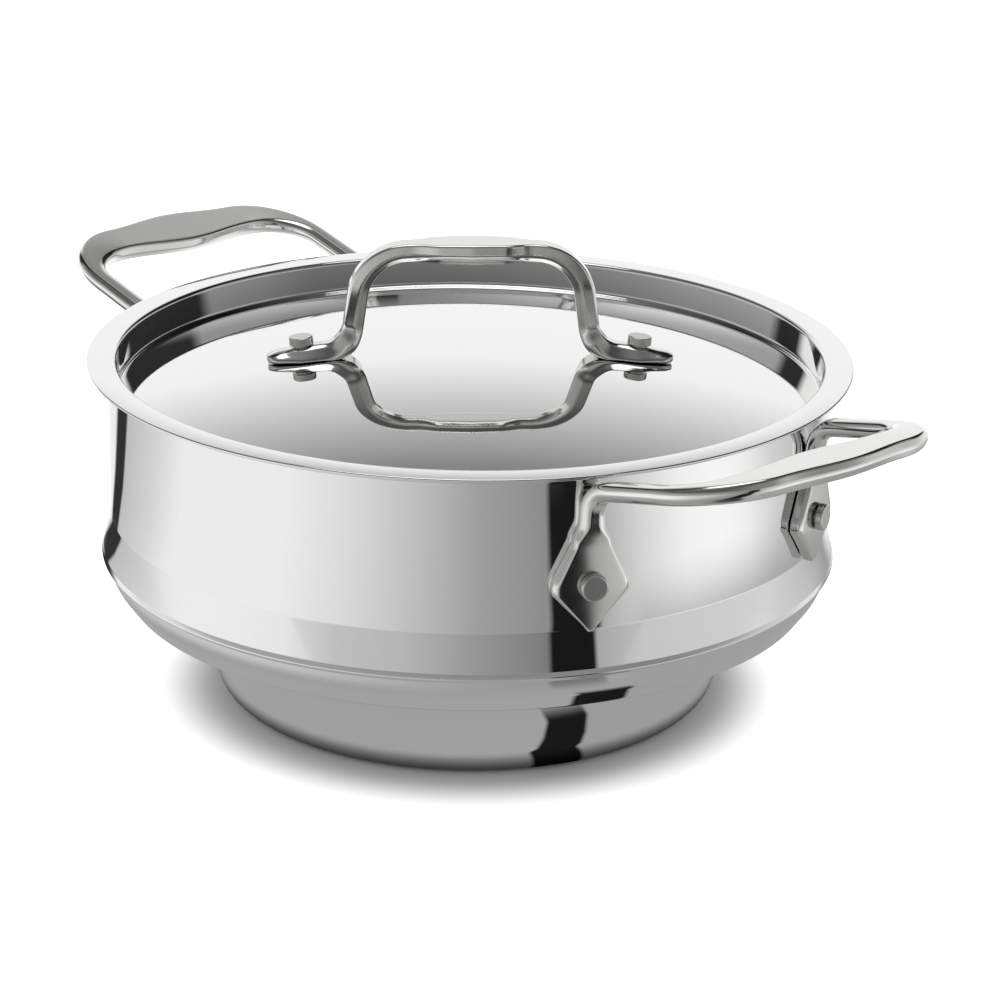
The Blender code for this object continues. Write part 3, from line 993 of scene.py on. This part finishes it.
def loft(name: str, route: Sequence[Vector], sections: Sequence[Section], axis: int) -> bpy.types.Object:
    """A whole handle from half its route, mirrored on one axis.

    Args:
        name: the object's name.
        route: the route from a foot's tip to the handle's middle.
        sections: the sections along it.
        axis: 0 or 1, the axis that the route ends on.

    Returns:
        The object, with its edges' wear stored on its points.
    """
    last = len(route) - 1
    rings = []
    for index, along in enumerate(lengths_along(route)):
        travel = (route[min(index + 1, last)] - route[max(index - 1, 0)]).normalized()
        if index == last:
            travel = Vector((0.0, 0.0, 0.0))
            travel[axis] = -1.0
        rings.append(ring_of(route[index], travel, section_at(sections, along)))
    for point, _ in rings[-1]:
        point[axis] = 0.0
    rings = rounded_tip(rings[0], (route[0] - route[1]).normalized()) + rings
    shape = bmesh.new()
    layer = shape.verts.layers.float.new(EDGE)
    loops = []
    for ring in rings:
        loop = [shape.verts.new(point) for point, _ in ring]
        for vertex, (_, edge) in zip(loop, ring):
            vertex[layer] = edge
        loops.append(loop)
    count = len(loops[0])
    pairs = [(index, (index + 1) % count) for index in range(count)]
    for low, high in zip(loops, loops[1:]):
        for one, two in pairs:
            shape.faces.new((low[one], low[two], high[two], high[one]))
    cap = shape.verts.new(sum((vertex.co for vertex in loops[0]), Vector()) / count)
    for one, two in pairs:
        shape.faces.new((loops[0][two], loops[0][one], cap))
    mesh = bpy.data.meshes.new(name)
    shape.to_mesh(mesh)
    shape.free()
    made = placed(name, mesh)
    mirror = made.modifiers.new("other_half", "MIRROR")
    mirror.use_axis = [index == axis for index in range(3)]
    mirror.use_mirror_merge = True
    mirror.merge_threshold = DETAIL.mirror_gap
    keep_modified(made)
    return made


def settle_handle(made: bpy.types.Object, turn: float, body: str, node: str) -> None:
    """Turns a handle about the pot's axis, finishes it and hands it to the frame.

    Args:
        made: the handle.
        turn: how far it is turned.
        body: the body that it rides on.
        node: the solid that it stands for.
    """
    made.data.transform(Matrix.Rotation(turn, 4, "Z"))
    made.data.materials.append(HANDLE_FINISH.material())
    settle(made, CAST_CREASE, body, Slot.HANDLE, node)


@dataclass(frozen=True)
class LidHandle:
    """The cast loop on the lid: a crowned bar, two legs and two leaf-shaped, ridged feet."""

    turn: float = math.radians(52.0)
    span: float = 0.1211
    rivet_spacing: float = 0.1008
    leg_foot_spacing: float = 0.0726
    leg_top_spacing: float = 0.0648
    bar_height: float = 0.0349
    bar_arch: float = 0.0015
    bar_width: float = 0.0136
    bar_crown_width: float = 0.0121
    bar_end_width: float = 0.0076
    bar_thickness: float = 0.0048
    bar_corner: float = 0.0145
    corner_fill: float = 0.0008
    leg_bend: float = 0.0085
    leg_width: float = 0.0070
    leg_thickness: float = 0.0063
    heel_fill: float = 0.0014
    ankle_width: float = 0.0106
    ankle_thickness: float = 0.0042
    foot_width: float = 0.0118
    foot_thickness: float = 0.0040
    leaf_reach: float = 0.0030
    leaf_width: float = 0.0098
    leaf_thickness: float = 0.0031
    tip_width: float = 0.0052
    tip_thickness: float = 0.0022
    seat_gap: float = 0.0003

    def route(self, lid: LidShell, rim_height: float) -> list[Vector]:
        """The route from a foot's tip, up one leg, to the bar's middle.

        Args:
            lid: the sheet that the handle stands on.
            rim_height: the height of the pot's rim.

        Returns:
            The route's points.
        """
        rise = self.seat_gap + self.foot_thickness / 2
        tip, rivet, ankle = (
            Vector((reach, 0.0, lid.dome_height(rim_height, reach) + rise))
            for reach in (self.span / 2, self.rivet_spacing / 2, self.leg_foot_spacing / 2)
        )
        leg_top = self.leg_top_spacing / 2
        bar_height = lid.top(rim_height) + self.bar_height - self.bar_thickness / 2 - self.bar_arch
        corner = Vector((leg_top, 0.0, bar_height))
        middle = Vector((0.0, 0.0, bar_height))
        bends = [(ankle, self.leg_bend), (corner, self.bar_corner)]
        route = routed([(tip, 0.0), (rivet, 0.0), *bends, (middle, 0.0)])
        for point in route:
            point.z += self.bar_arch * max(0.0, 1 - (point.x / leg_top) ** 2)
        return route

    def foot_sections(self, foot_end: float) -> list[Section]:
        """The ridged sections of a foot, from its tip to its ankle.

        Args:
            foot_end: how far along the route the ankle lies.

        Returns:
            The sections in order.
        """
        ridged = {"face_share": 0.42, "back_share": 0.98, "shoulder": -0.72, "corner": 0.0013}
        rounding_width = (self.tip_width + 2 * self.leaf_width) / 3
        rounding_thickness = (self.tip_thickness + self.leaf_thickness) / 2
        at_rivet = self.span / 2 - self.rivet_spacing / 2
        half = self.foot_thickness / 2
        sizes = [
            (0.0, self.tip_width, self.tip_thickness, True),
            (self.leaf_reach / 3, rounding_width, rounding_thickness, True),
            (self.leaf_reach, self.leaf_width, self.leaf_thickness, False),
            (at_rivet, self.foot_width, self.foot_thickness, False),
            (foot_end, self.ankle_width, self.ankle_thickness, False),
        ]
        return [
            Section(along, UP, width, half, thickness - half, straight=straight, **ridged)
            for along, width, thickness, straight in sizes
        ]

    def sections(self, length: float) -> list[Section]:
        """The sections along the route.

        Args:
            length: the route's length.

        Returns:
            The sections in order.
        """
        half_leg = self.leg_thickness / 2
        half_bar = self.bar_thickness / 2
        foot_end = self.span / 2 - self.leg_foot_spacing / 2 - self.leg_bend
        leg_start = foot_end + self.leg_bend * math.pi / 2
        bar_end = length - self.leg_top_spacing / 2 + self.bar_corner
        leg_end = bar_end - self.bar_corner * math.pi / 2
        out = Vector((1.0, 0.0, 0.0))
        heel = {"face_share": 0.62, "back_share": 0.86, "shoulder": -0.35, "corner": 0.0014}
        leg = {"face_share": 0.80, "back_share": 0.50, "shoulder": -0.25, "corner": 0.0010}
        bar = {"face_share": 0.96, "back_share": 0.62, "shoulder": -0.48, "corner": 0.0008}
        heel_sizes = (self.ankle_width, self.foot_thickness / 2 + self.heel_fill, half_leg)
        leg_sizes = (self.leg_width, half_leg, half_leg)
        crown = (self.bar_crown_width, half_bar, half_bar)
        return [
            *self.foot_sections(foot_end),
            Section(foot_end + self.leg_bend, UP + out, *heel_sizes, **heel),
            Section(leg_start, out, *leg_sizes, **leg),
            Section(leg_end, out, *leg_sizes, **leg),
            Section(bar_end, UP, self.bar_end_width, half_bar + self.corner_fill, half_bar, **bar),
            Section((bar_end + length) / 2, UP, *crown, straight=True, **bar),
            Section(length, UP, self.bar_width, half_bar, half_bar, **bar),
        ]

    def build(self, lid: LidShell, rim_height: float) -> None:
        """Makes the handle on the lid.

        Args:
            lid: the sheet that it stands on.
            rim_height: the height of the pot's rim.
        """
        route = self.route(lid, rim_height)
        sections = self.sections(lengths_along(route)[-1])
        made = loft("lid_loop", route, sections, 0)
        settle_handle(made, self.turn, LID_BODY, "lid_handle")


@dataclass(frozen=True)
class SideHandle:
    """A cast loop on the pot: a broad grip, two arms, two necks and two bevelled feet."""

    rivet_spacing: float = 0.0858
    rivet_height: float = 0.0729
    reach: float = 0.1585
    width: float = 0.0956
    tilt: float = math.radians(13.0)
    rise: float = 0.0095
    grip_tilt: float = math.radians(10.5)
    grip_width: float = 0.0206
    grip_end_width: float = 0.0146
    grip_thickness: float = 0.0056
    grip_corner: float = 0.0200
    arm_width: float = 0.0078
    arm_thickness: float = 0.0054
    neck_bend: float = 0.0090
    neck_width: float = 0.0074
    waist_width: float = 0.0110
    waist_above_rivet: float = 0.0117
    foot_width: float = 0.0226
    cheek_above_rivet: float = 0.0004
    cheek_below_rivet: float = 0.0023
    foot_below_rivet: float = 0.0131
    foot_thickness: float = 0.0042
    foot_tip_width: float = 0.0022
    face_lean: float = 0.05
    seat_gap: float = 0.0003

    def rivet_angle(self, wall_radius: float) -> float:
        """How far each rivet lies from the handle's middle, about the pot's axis."""
        return math.asin(self.rivet_spacing / 2 / wall_radius)

    def foot_out(self, wall_radius: float) -> Vector:
        """The way that the foot's face looks, square to the wall."""
        angle = self.rivet_angle(wall_radius)
        return Vector((math.cos(angle), math.sin(angle), 0.0))

    def stops(self, wall_radius: float, flange_top: float) -> list[tuple[Vector, float]]:
        """The route's stops: tip, rivet, waist, neck bend, grip corner and the grip's middle.

        Args:
            wall_radius: the wall's outer radius.
            flange_top: the height of the lid's flange.

        Returns:
            (place, corner radius) pairs in order.
        """
        out = self.foot_out(wall_radius)
        rivet = out * (wall_radius + self.seat_gap + self.foot_thickness / 2)
        rivet.z = self.rivet_height
        grip_radius = self.reach - self.grip_width / 2
        drop = math.tan(self.grip_tilt) * self.grip_width / 2
        grip_height = flange_top + self.rise - self.grip_thickness / 2 - drop
        bend_height = grip_height - math.tan(self.tilt) * (grip_radius - rivet.x)
        bend = Vector((rivet.x, rivet.y, bend_height))
        corner = Vector((grip_radius, (self.width - self.arm_width) / 2, grip_height))
        middle = Vector((grip_radius, 0.0, grip_height))
        return [
            (rivet - UP * self.foot_below_rivet, 0.0),
            (rivet, 0.0),
            (rivet + UP * self.waist_above_rivet, 0.0),
            (bend, self.neck_bend),
            (corner, self.grip_corner),
            (middle, 0.0),
        ]

    def sections(self, length: float, neck_rise: float, wall_radius: float) -> list[Section]:
        """The sections along the route.

        Args:
            length: the route's length.
            neck_rise: how high the neck's bend stands above the foot's tip.
            wall_radius: the wall's outer radius.

        Returns:
            The sections in order.
        """
        half_foot = self.foot_thickness / 2
        half_arm = self.arm_thickness / 2
        half_grip = self.grip_thickness / 2
        out = self.foot_out(wall_radius)
        down, under = (
            Vector((math.sin(tilt), 0.0, -math.cos(tilt))) for tilt in (self.tilt, self.grip_tilt)
        )
        cheek_low = self.foot_below_rivet - self.cheek_below_rivet
        cheek_high = self.foot_below_rivet + self.cheek_above_rivet
        at_waist = self.foot_below_rivet + self.waist_above_rivet
        at_neck = neck_rise - self.neck_bend
        at_arm = at_neck + 2 * self.neck_bend
        grip_end = length - ((self.width - self.arm_width) / 2 - self.grip_corner)
        arm_end = grip_end - self.grip_corner * math.pi / 2
        plate = {"face_share": 0.91, "back_share": 0.97, "shoulder": 0.50, "corner": 0.0005}
        plate |= {"wrap": 1 / wall_radius, "lean": self.face_lean}
        neck = {"face_share": 0.62, "back_share": 0.90, "shoulder": 0.10, "corner": 0.0012}
        arm = {"face_share": 0.55, "back_share": 0.62, "shoulder": -0.10, "corner": 0.0018}
        grip = {"face_share": 0.78, "back_share": 0.95, "shoulder": 0.05, "corner": 0.0008}
        tip_front = half_foot * 3 / 4
        cheek = (self.foot_width, half_foot, half_foot)
        arm_sizes = (self.arm_width, half_arm, half_arm)
        return [
            Section(0.0, out, self.foot_tip_width, half_foot, tip_front, straight=True, **plate),
            Section(cheek_low, out, *cheek, straight=True, **plate),
            Section(cheek_high, out, *cheek, straight=True, **plate),
            Section(at_waist, out, self.waist_width, half_foot, half_foot, **plate),
            Section(at_neck, out, self.neck_width, half_foot, half_arm, **neck),
            Section(at_arm, down, *arm_sizes, **arm),
            Section(arm_end, down, *arm_sizes, **arm),
            Section(grip_end, under, self.grip_end_width, half_grip, half_grip, **grip),
            Section(length, under, self.grip_width, half_grip, half_grip, **grip),
        ]

    def build(self, name: str, turn: float, node: str, wall_radius: float, flange_top: float) -> None:
        """Makes one handle on the wall.

        Args:
            name: the piece's name.
            turn: where its middle lies, about the pot's axis.
            node: the solid that it stands for.
            wall_radius: the wall's outer radius.
            flange_top: the height of the lid's flange.
        """
        stops = self.stops(wall_radius, flange_top)
        (tip, _), _, _, (bend, _), *_ = stops
        route = routed(stops)
        sections = self.sections(lengths_along(route)[-1], bend.z - tip.z, wall_radius)
        settle_handle(loft(name, route, sections, 1), turn, POT_BODY, node)


# Rivets


@dataclass(frozen=True)
class RivetSet:
    """The rivets of one body: a flat-faced head outside, a shank and a lower head inside."""

    name: str
    body: str
    head_height: float
    seat: float
    grip: float
    shank: float = 0.0024
    head: float = 0.0036
    inner_height: float = 0.0014
    head_round: float = 0.00045
    seat_round: float = 0.0002
    shank_round: float = 0.0001
    steps: int = 56
    arc_step: float = math.radians(15.0)
    lead: float = 0.00008

    def outline(self) -> list[Vector]:
        """The rivet's closed outline, from the middle of its outer head down.

        Returns:
            (radius, height) points.
        """
        top = self.seat + self.head_height
        bottom = -self.grip - self.inner_height
        corners = [
            ((0.0, top), 0),
            ((self.head, top), self.head_round),
            ((self.head, self.seat), self.seat_round),
            ((self.shank, self.seat), self.shank_round),
            ((self.shank, -self.grip), self.shank_round),
            ((self.head, -self.grip), self.seat_round),
            ((self.head, bottom), self.head_round),
            ((0.0, bottom), 0),
        ]
        return rounded(corners, self.arc_step, self.lead)

    def build(self, places: dict[str, Matrix]) -> None:
        """Sets a rivet at each place.

        Args:
            places: for each solid that a rivet stands for, a frame whose origin is on the sheet's
                outer face and whose Z points out.
        """
        material = RIVET_FINISH.material()
        one = turned_piece(self.name + "_pattern", self.outline(), self.steps, material)
        reach = one.data.attributes.new(REACH, "FLOAT", "POINT")
        for vertex, value in zip(one.data.vertices, reach.data):
            value.value = math.hypot(vertex.co.x, vertex.co.y)
        mesh = bpy.data.meshes.new(self.name)
        mesh.from_pydata([place.translation for place in places.values()], [], [])
        axis = mesh.attributes.new(RIVET_AXIS, "FLOAT_VECTOR", "POINT")
        for place, value in zip(places.values(), axis.data):
            value.vector = place.col[2].to_3d()
        made = placed(self.name, mesh)
        put_through(made, riveting_tree(), {"Rivet": one, "Material": material})
        bpy.data.objects.remove(one)
        settle(made, CAST_CREASE, self.body, Slot.RIVET, *places)


def seat_frame(turn: float, radius: float, height: float, lean: float) -> Matrix:
    """A frame on a sheet's outer face, with Z pointing out of it.

    Args:
        turn: where it lies, about the pot's axis.
        radius: how far out it lies.
        height: its height.
        lean: how far its Z leans out from straight up.

    Returns:
        The frame.
    """
    place = Matrix.Translation((radius, 0.0, height)) @ Matrix.Rotation(lean, 4, "Y")
    return Matrix.Rotation(turn, 4, "Z") @ place


# Studio


def emptied(owner: bpy.types.World | bpy.types.Material) -> ShaderBuilder:
    """Turns on a world's or a material's nodes, without the usual ones.

    Args:
        owner: the world or the material.

    Returns:
        The builder of its tree.
    """
    owner.use_nodes = True
    owner.node_tree.nodes.clear()
    return ShaderBuilder(owner.node_tree)


@dataclass(frozen=True)
class Studio:
    """A plain pale floor, soft light from the surround, and dark flags that the steel mirrors.

    What the steel sees is set by stops. near, ring, far and high hold (azimuth in degrees,
    brightness) at the pot's foot, round it, at the horizon and above it. The shade reach stops hold
    (azimuth, radius) for how far out the pot's painted shade lies, twist holds (radius, degrees) for
    how the floor's painted flags bend near the foot, and climb holds (elevation in degrees,
    brightness) for how the surround changes upwards. Pairs of radii or angles are where a change
    starts and ends. On the floor these are a painted reflection that only glossy rays see, with a
    painted shade round the pot and a painted contact shadow at its foot.
    """

    floor_radius: float = 6.0
    floor_sides: int = 96
    floor_drop: float = 0.0001
    floor_colour: tuple[float, ...] = (0.86, 0.86, 0.86, 1.0)
    floor_lift: float = 0.72
    # Painted contact shadow in the floor's reflection: the radii where it fades out, and how dark it is at
    # the foot.
    painted_contact_shadow: tuple[float, float] = (0.071, 0.090)
    painted_contact_shadow_level: float = 0.1
    # Radii where the floor's lift fades in: the pot's real shadow is kept only inside this painted ring at
    # its foot.
    painted_contact_fade: tuple[float, float] = (0.076, 0.100)
    # Radii where the reflected floor changes from the painted flags at the foot to an even painted shade.
    near_flags: tuple[float, float] = (0.108, 0.122)
    painted_near_shade_level: float = 0.35
    # How wide the edge of the pot's painted shade on the reflected floor is.
    painted_shade_width: float = 0.10
    far_floor: tuple[float, float] = (0.36, 0.60)
    # How bright the floor's painted reflection is overall.
    surround: float = 1.18
    sky: float = 1.02
    fill: float = 0.8
    # Painted reflection at the pot's foot: an even painted shade with one dark flag.
    near: Stops = (
        (-180.0, 0.36), (-20.4, 0.36), (-20.0, 0.01), (-8.2, 0.01), (-7.8, 0.34), (180.0, 0.34)
    )
    ring: Stops = (
        (-180.0, 0.80), (-172.0, 0.80), (-171.0, 0.03), (-161.5, 0.03), (-160.5, 0.50),
        (-141.0, 0.66), (-127.0, 0.86), (-90.0, 0.86), (-72.0, 0.72), (-58.0, 0.57),
        (-38.0, 0.35), (-20.6, 0.27), (-20.0, 0.01), (-8.2, 0.01), (-7.6, 0.40),
        (4.0, 0.66), (18.0, 0.90), (30.0, 0.95), (40.0, 0.90), (54.0, 0.64),
        (70.0, 0.52), (84.0, 0.30), (92.0, 0.80), (130.0, 1.00), (180.0, 0.80)
    )
    far: Stops = (
        (-180.0, 0.85), (-120.0, 0.87), (-97.0, 0.82), (-80.0, 0.62), (-60.0, 0.55),
        (-38.0, 0.36), (-17.0, 0.24), (-15.9, 0.01), (-2.4, 0.01), (-1.6, 0.46),
        (12.0, 0.58), (60.0, 0.67), (95.0, 0.85), (130.0, 1.00), (180.0, 0.95)
    )
    high: Stops = (
        (-180.0, 0.03), (-172.0, 0.03), (-166.0, 0.42), (-123.0, 0.45), (-85.0, 0.38),
        (-41.0, 0.32), (-11.0, 0.28), (17.0, 0.26), (37.0, 0.34), (62.0, 0.36),
        (68.0, 0.03), (118.0, 0.03), (124.0, 1.00), (168.0, 1.00), (174.0, 0.03), (180.0, 0.03)
    )
    high_start: tuple[float, float] = (4.0, 12.0)
    # Painted shade: (azimuth, radius) stops for how far out the pot's painted shade lies on the reflected
    # floor.
    painted_shade_reach: Stops = (
        (-180.0, 0.22), (-12.0, 0.22), (4.0, 0.30), (70.0, 0.30), (100.0, 0.22), (180.0, 0.22)
    )
    twist: Stops = (
        (0.087, 4.7), (0.098, -0.5), (0.108, -3.0), (0.125, 0.0),
        (0.150, 3.0), (0.200, 2.2), (0.260, 0.0)
    )
    climb: Stops = (
        (-90.0, 1.0), (19.0, 1.0), (24.0, 0.82), (28.5, 0.64), (34.0, 0.43),
        (38.0, 0.27), (55.0, 0.30), (66.0, 0.62), (90.0, 0.72)
    )
    twist_range: float = 20.0
    twist_radius: float = 0.5
    softbox_size: float = 1.1
    softbox_place: tuple[float, float, float] = (-0.15, 0.1, 1.5)
    softbox_power: float = 4.5

    def bearing(self, build: ShaderBuilder, place: Socket) -> Socket:
        """The azimuth of a place or a direction about Z, in degrees."""
        x, y, _ = build.split(place)
        return build.math("MULTIPLY", build.math("ARCTAN2", y, x), math.degrees(1.0))

    def around(self, build: ShaderBuilder, bearing: Socket, stops: Stops) -> Socket:
        """The value of (azimuth in degrees, value) stops at a bearing."""
        return build.ramp(bearing, stops, -180.0, 180.0)

    def build_world(self) -> None:
        """Builds the surround: flagged to the steel, and even to everything else."""
        world = bpy.data.worlds.new("studio_surround")
        bpy.context.scene.world = world
        build = emptied(world)
        direction = build.add("ShaderNodeTexCoord").outputs["Generated"]
        bearing = self.bearing(build, direction)
        climbing = build.math("ARCSINE", build.split(direction)["Z"])
        rise = build.math("MULTIPLY", climbing, math.degrees(1.0))
        far = self.around(build, bearing, self.far)
        high = self.around(build, bearing, self.high)
        ring = build.mixed(build.eased(rise, *self.high_start), far, high)
        climb = build.ramp(rise, self.climb, -90.0, 90.0)
        seen = build.math("MULTIPLY", build.math("MULTIPLY", ring, climb), self.sky)
        glossy = build.add("ShaderNodeLightPath").outputs["Is Glossy Ray"]
        light = {"Color": WHITE, "Strength": build.mixed(glossy, self.fill, seen)}
        background = build.add("ShaderNodeBackground", light)
        build.add("ShaderNodeOutputWorld", {"Surface": background.outputs[0]})

    def painted_floor_reflection(self, build: ShaderBuilder, place: Socket) -> Socket:
        """How bright the floor looks to the steel: painted flags, painted shade and contact shadow.

        Args:
            build: the floor material's builder.
            place: Object coordinates on the floor.

        Returns:
            The brightness there.
        """
        radius = build.length(place)
        bearing = self.bearing(build, place)
        bends = [(reach, degrees / self.twist_range + 0.5) for reach, degrees in self.twist]
        bend = build.math("SUBTRACT", build.ramp(radius, bends, 0.0, self.twist_radius), 0.5)
        bent = build.math("ADD", bearing, build.math("MULTIPLY", bend, self.twist_range))
        # The pot's painted shade on the reflected floor: inside this reach the floor is painted darker,
        # further out on one side.
        reach = self.around(build, bearing, self.painted_shade_reach)
        clear = build.eased(radius, build.math("SUBTRACT", reach, self.painted_shade_width), reach)
        near = self.around(build, bent, self.near)
        # Inside the shade reach the reflected floor is painted dark: the flags at the foot, then an even
        # painted shade.
        foot = build.mixed(build.eased(radius, *self.near_flags), near, self.painted_near_shade_level)
        level = build.mixed(clear, foot, self.around(build, bent, self.ring))
        far = self.around(build, bearing, self.far)
        level = build.mixed(build.eased(radius, *self.far_floor), level, far)
        # Painted contact shadow: the reflected floor is darkened at the pot's foot by this factor.
        painted_contact_fade = build.mixed(build.eased(radius, *self.painted_contact_shadow), self.painted_contact_shadow_level, 1.0)
        return build.math("MULTIPLY", level, painted_contact_fade)

    def build_floor(self) -> None:
        """Builds the floor: pale with the pot's shadow at its foot to the camera, painted flags and shade
        to the steel.
        """
        mesh = bpy.data.meshes.new("studio_floor")
        shape = bmesh.new()
        sides = self.floor_sides
        bmesh.ops.create_circle(shape, cap_ends=True, segments=sides, radius=self.floor_radius)
        shape.to_mesh(mesh)
        shape.free()
        floor = placed("studio_floor", mesh)
        floor.location.z = -self.floor_drop
        material = bpy.data.materials.new("pale_floor")
        build = emptied(material)
        place = build.add("ShaderNodeTexCoord").outputs["Object"]
        # What glossy rays see is an emission: a painted reflection, not a lit floor.
        level = build.math("MULTIPLY", self.painted_floor_reflection(build, place), self.surround)
        mirrored = build.add("ShaderNodeEmission", {"Strength": level})
        paint = build.add("ShaderNodeBsdfDiffuse", {"Color": self.floor_colour})
        paths = build.add("ShaderNodeLightPath").outputs
        # The lift is held back at the foot, so the real shadow shows there in a painted ring and is washed
        # out further away.
        clear = build.eased(build.length(place), *self.painted_contact_fade)
        seen = build.math("MULTIPLY", paths["Is Camera Ray"], self.floor_lift)
        lift = build.add("ShaderNodeEmission", {"Strength": build.math("MULTIPLY", seen, clear)})
        pale = build.add("ShaderNodeAddShader", {0: paint.outputs[0], 1: lift.outputs[0]})
        sights = {0: paths["Is Glossy Ray"], 1: pale.outputs[0], 2: mirrored.outputs[0]}
        surface = build.add("ShaderNodeMixShader", sights).outputs[0]
        build.add("ShaderNodeOutputMaterial", {"Surface": surface})
        mesh.materials.append(material)

    def build_softbox(self) -> None:
        """Hangs the softbox over the pot."""
        light = bpy.data.lights.new("softbox", "AREA")
        light.shape = "DISK"
        light.size = self.softbox_size
        light.energy = self.softbox_power
        placed("softbox", light).location = self.softbox_place

    def build(self) -> None:
        """Builds the whole studio."""
        self.build_world()
        self.build_floor()
        self.build_softbox()
        bpy.context.scene.view_settings.view_transform = "Standard"
        LOG.info("studio: floor of %.1f m, %d flag stops", self.floor_radius, len(self.ring))


@dataclass(frozen=True)
class PhotoCamera:
    """The photograph's camera, about the middle of the lid's flange.

    Angles are in degrees and centre is where that middle lies in the frame, in pixels of 1000.
    """

    azimuth: float = 49.0
    elevation: float = 17.39
    roll: float = 0.82
    distance: float = 1.035
    target_height: float = 0.106
    focal_pixels: float = 3434.0
    frame_pixels: float = 1000.0
    centre: tuple[float, float] = (470.7, 352.1)
    sensor: float = 36.0
    clip_start: float = 0.01

    def build(self) -> None:
        """Places the camera."""
        turn = math.radians(self.azimuth - 90.0)
        rise = math.radians(self.elevation)
        roll = math.radians(self.roll)
        target = UP * self.target_height
        level = Vector((math.cos(turn), math.sin(turn), 0.0))
        out = level * math.cos(rise) + UP * math.sin(rise)
        place = target + out * self.distance
        right = (-out).cross(UP).normalized()
        up = right.cross(-out).normalized()
        rolled_right = right * math.cos(roll) + up * math.sin(roll)
        rolled_up = up * math.cos(roll) - right * math.sin(roll)
        middle = self.frame_pixels / 2
        scale = self.distance / self.focal_pixels
        aim = target + rolled_right * (middle - self.centre[0]) * scale
        aim -= rolled_up * (middle - self.centre[1]) * scale
        view = (aim - place).normalized()
        side = view.cross(rolled_up).normalized()
        over = side.cross(view).normalized()
        data = bpy.data.cameras.new("photo_camera")
        data.sensor_width = self.sensor
        data.lens = self.focal_pixels * self.sensor / self.frame_pixels
        data.clip_start = self.clip_start
        matrix = Matrix((side, over, -view)).transposed().to_4x4()
        matrix.translation = place
        camera = placed("photo_camera", data)
        camera.matrix_world = matrix
        bpy.context.scene.camera = camera


# The whole pot


@dataclass(frozen=True)
class SteamerPot:
    """The pot with its lid, from its sheets, handles and rivets."""

    shell: PotShell = field(default_factory=PotShell)
    lid: LidShell = field(default_factory=LidShell)
    lid_handle: LidHandle = field(default_factory=LidHandle)
    side_handle: SideHandle = field(default_factory=SideHandle)
    rivet_gap: float = 0.0003
    pot_head: float = 0.0040
    pot_head_height: float = 0.0021
    pot_head_round: float = 0.0007
    lid_head_height: float = 0.0025

    def build(self) -> None:
        """Builds every piece on its body."""
        rim = self.shell.rim_height
        wall = self.shell.wall_radius
        self.shell.build()
        self.lid.build(rim)
        self.lid_handle.build(self.lid, rim)
        top = self.lid.top(rim)
        self.side_handle.build("side_loop_right", 0.0, "side_handle_right", wall, top)
        self.side_handle.build("side_loop_left", math.pi, "side_handle_left", wall, top)
        self.pot_rivets(wall)
        self.lid_rivets(rim)

    def pot_rivets(self, wall: float) -> None:
        """Sets the rivets of the side handles.

        Args:
            wall: the wall's outer radius.
        """
        side = self.side_handle
        angle = side.rivet_angle(wall)
        turns = {
            "side_rivet_right_front": -angle,
            "side_rivet_right_rear": angle,
            "side_rivet_left_front": math.pi + angle,
            "side_rivet_left_rear": math.pi - angle,
        }
        places = {
            node: seat_frame(turn, wall, side.rivet_height, math.pi / 2)
            for node, turn in turns.items()
        }
        seat = side.seat_gap + side.foot_thickness + self.rivet_gap
        grip = self.shell.sheet + self.rivet_gap
        head = {"head": self.pot_head, "head_round": self.pot_head_round}
        RivetSet("pot_rivets", POT_BODY, self.pot_head_height, seat, grip, **head).build(places)

    def lid_rivets(self, rim: float) -> None:
        """Sets the rivets of the lid's handle.

        Args:
            rim: the height of the pot's rim.
        """
        handle = self.lid_handle
        sides = {"lid_rivet_left": -1, "lid_rivet_right": 1}
        reach = handle.rivet_spacing / 2
        height = self.lid.dome_height(rim, reach)
        lean = math.atan(self.lid.dome_slope(reach))
        places = {
            node: seat_frame(handle.turn, side * reach, height, side * lean)
            for node, side in sides.items()
        }
        seat = handle.seat_gap + handle.foot_thickness + self.rivet_gap
        grip = self.lid.sheet + self.rivet_gap
        RivetSet("lid_rivets", LID_BODY, self.lid_head_height, seat, grip).build(places)


def main() -> None:
    """Builds the pot, its studio and its camera."""
    logging.basicConfig(level=logging.INFO, format="%(name)s: %(message)s")
    SteamerPot().build()
    Studio().build()
    PhotoCamera().build()


if __name__ == "__main__":
    main()
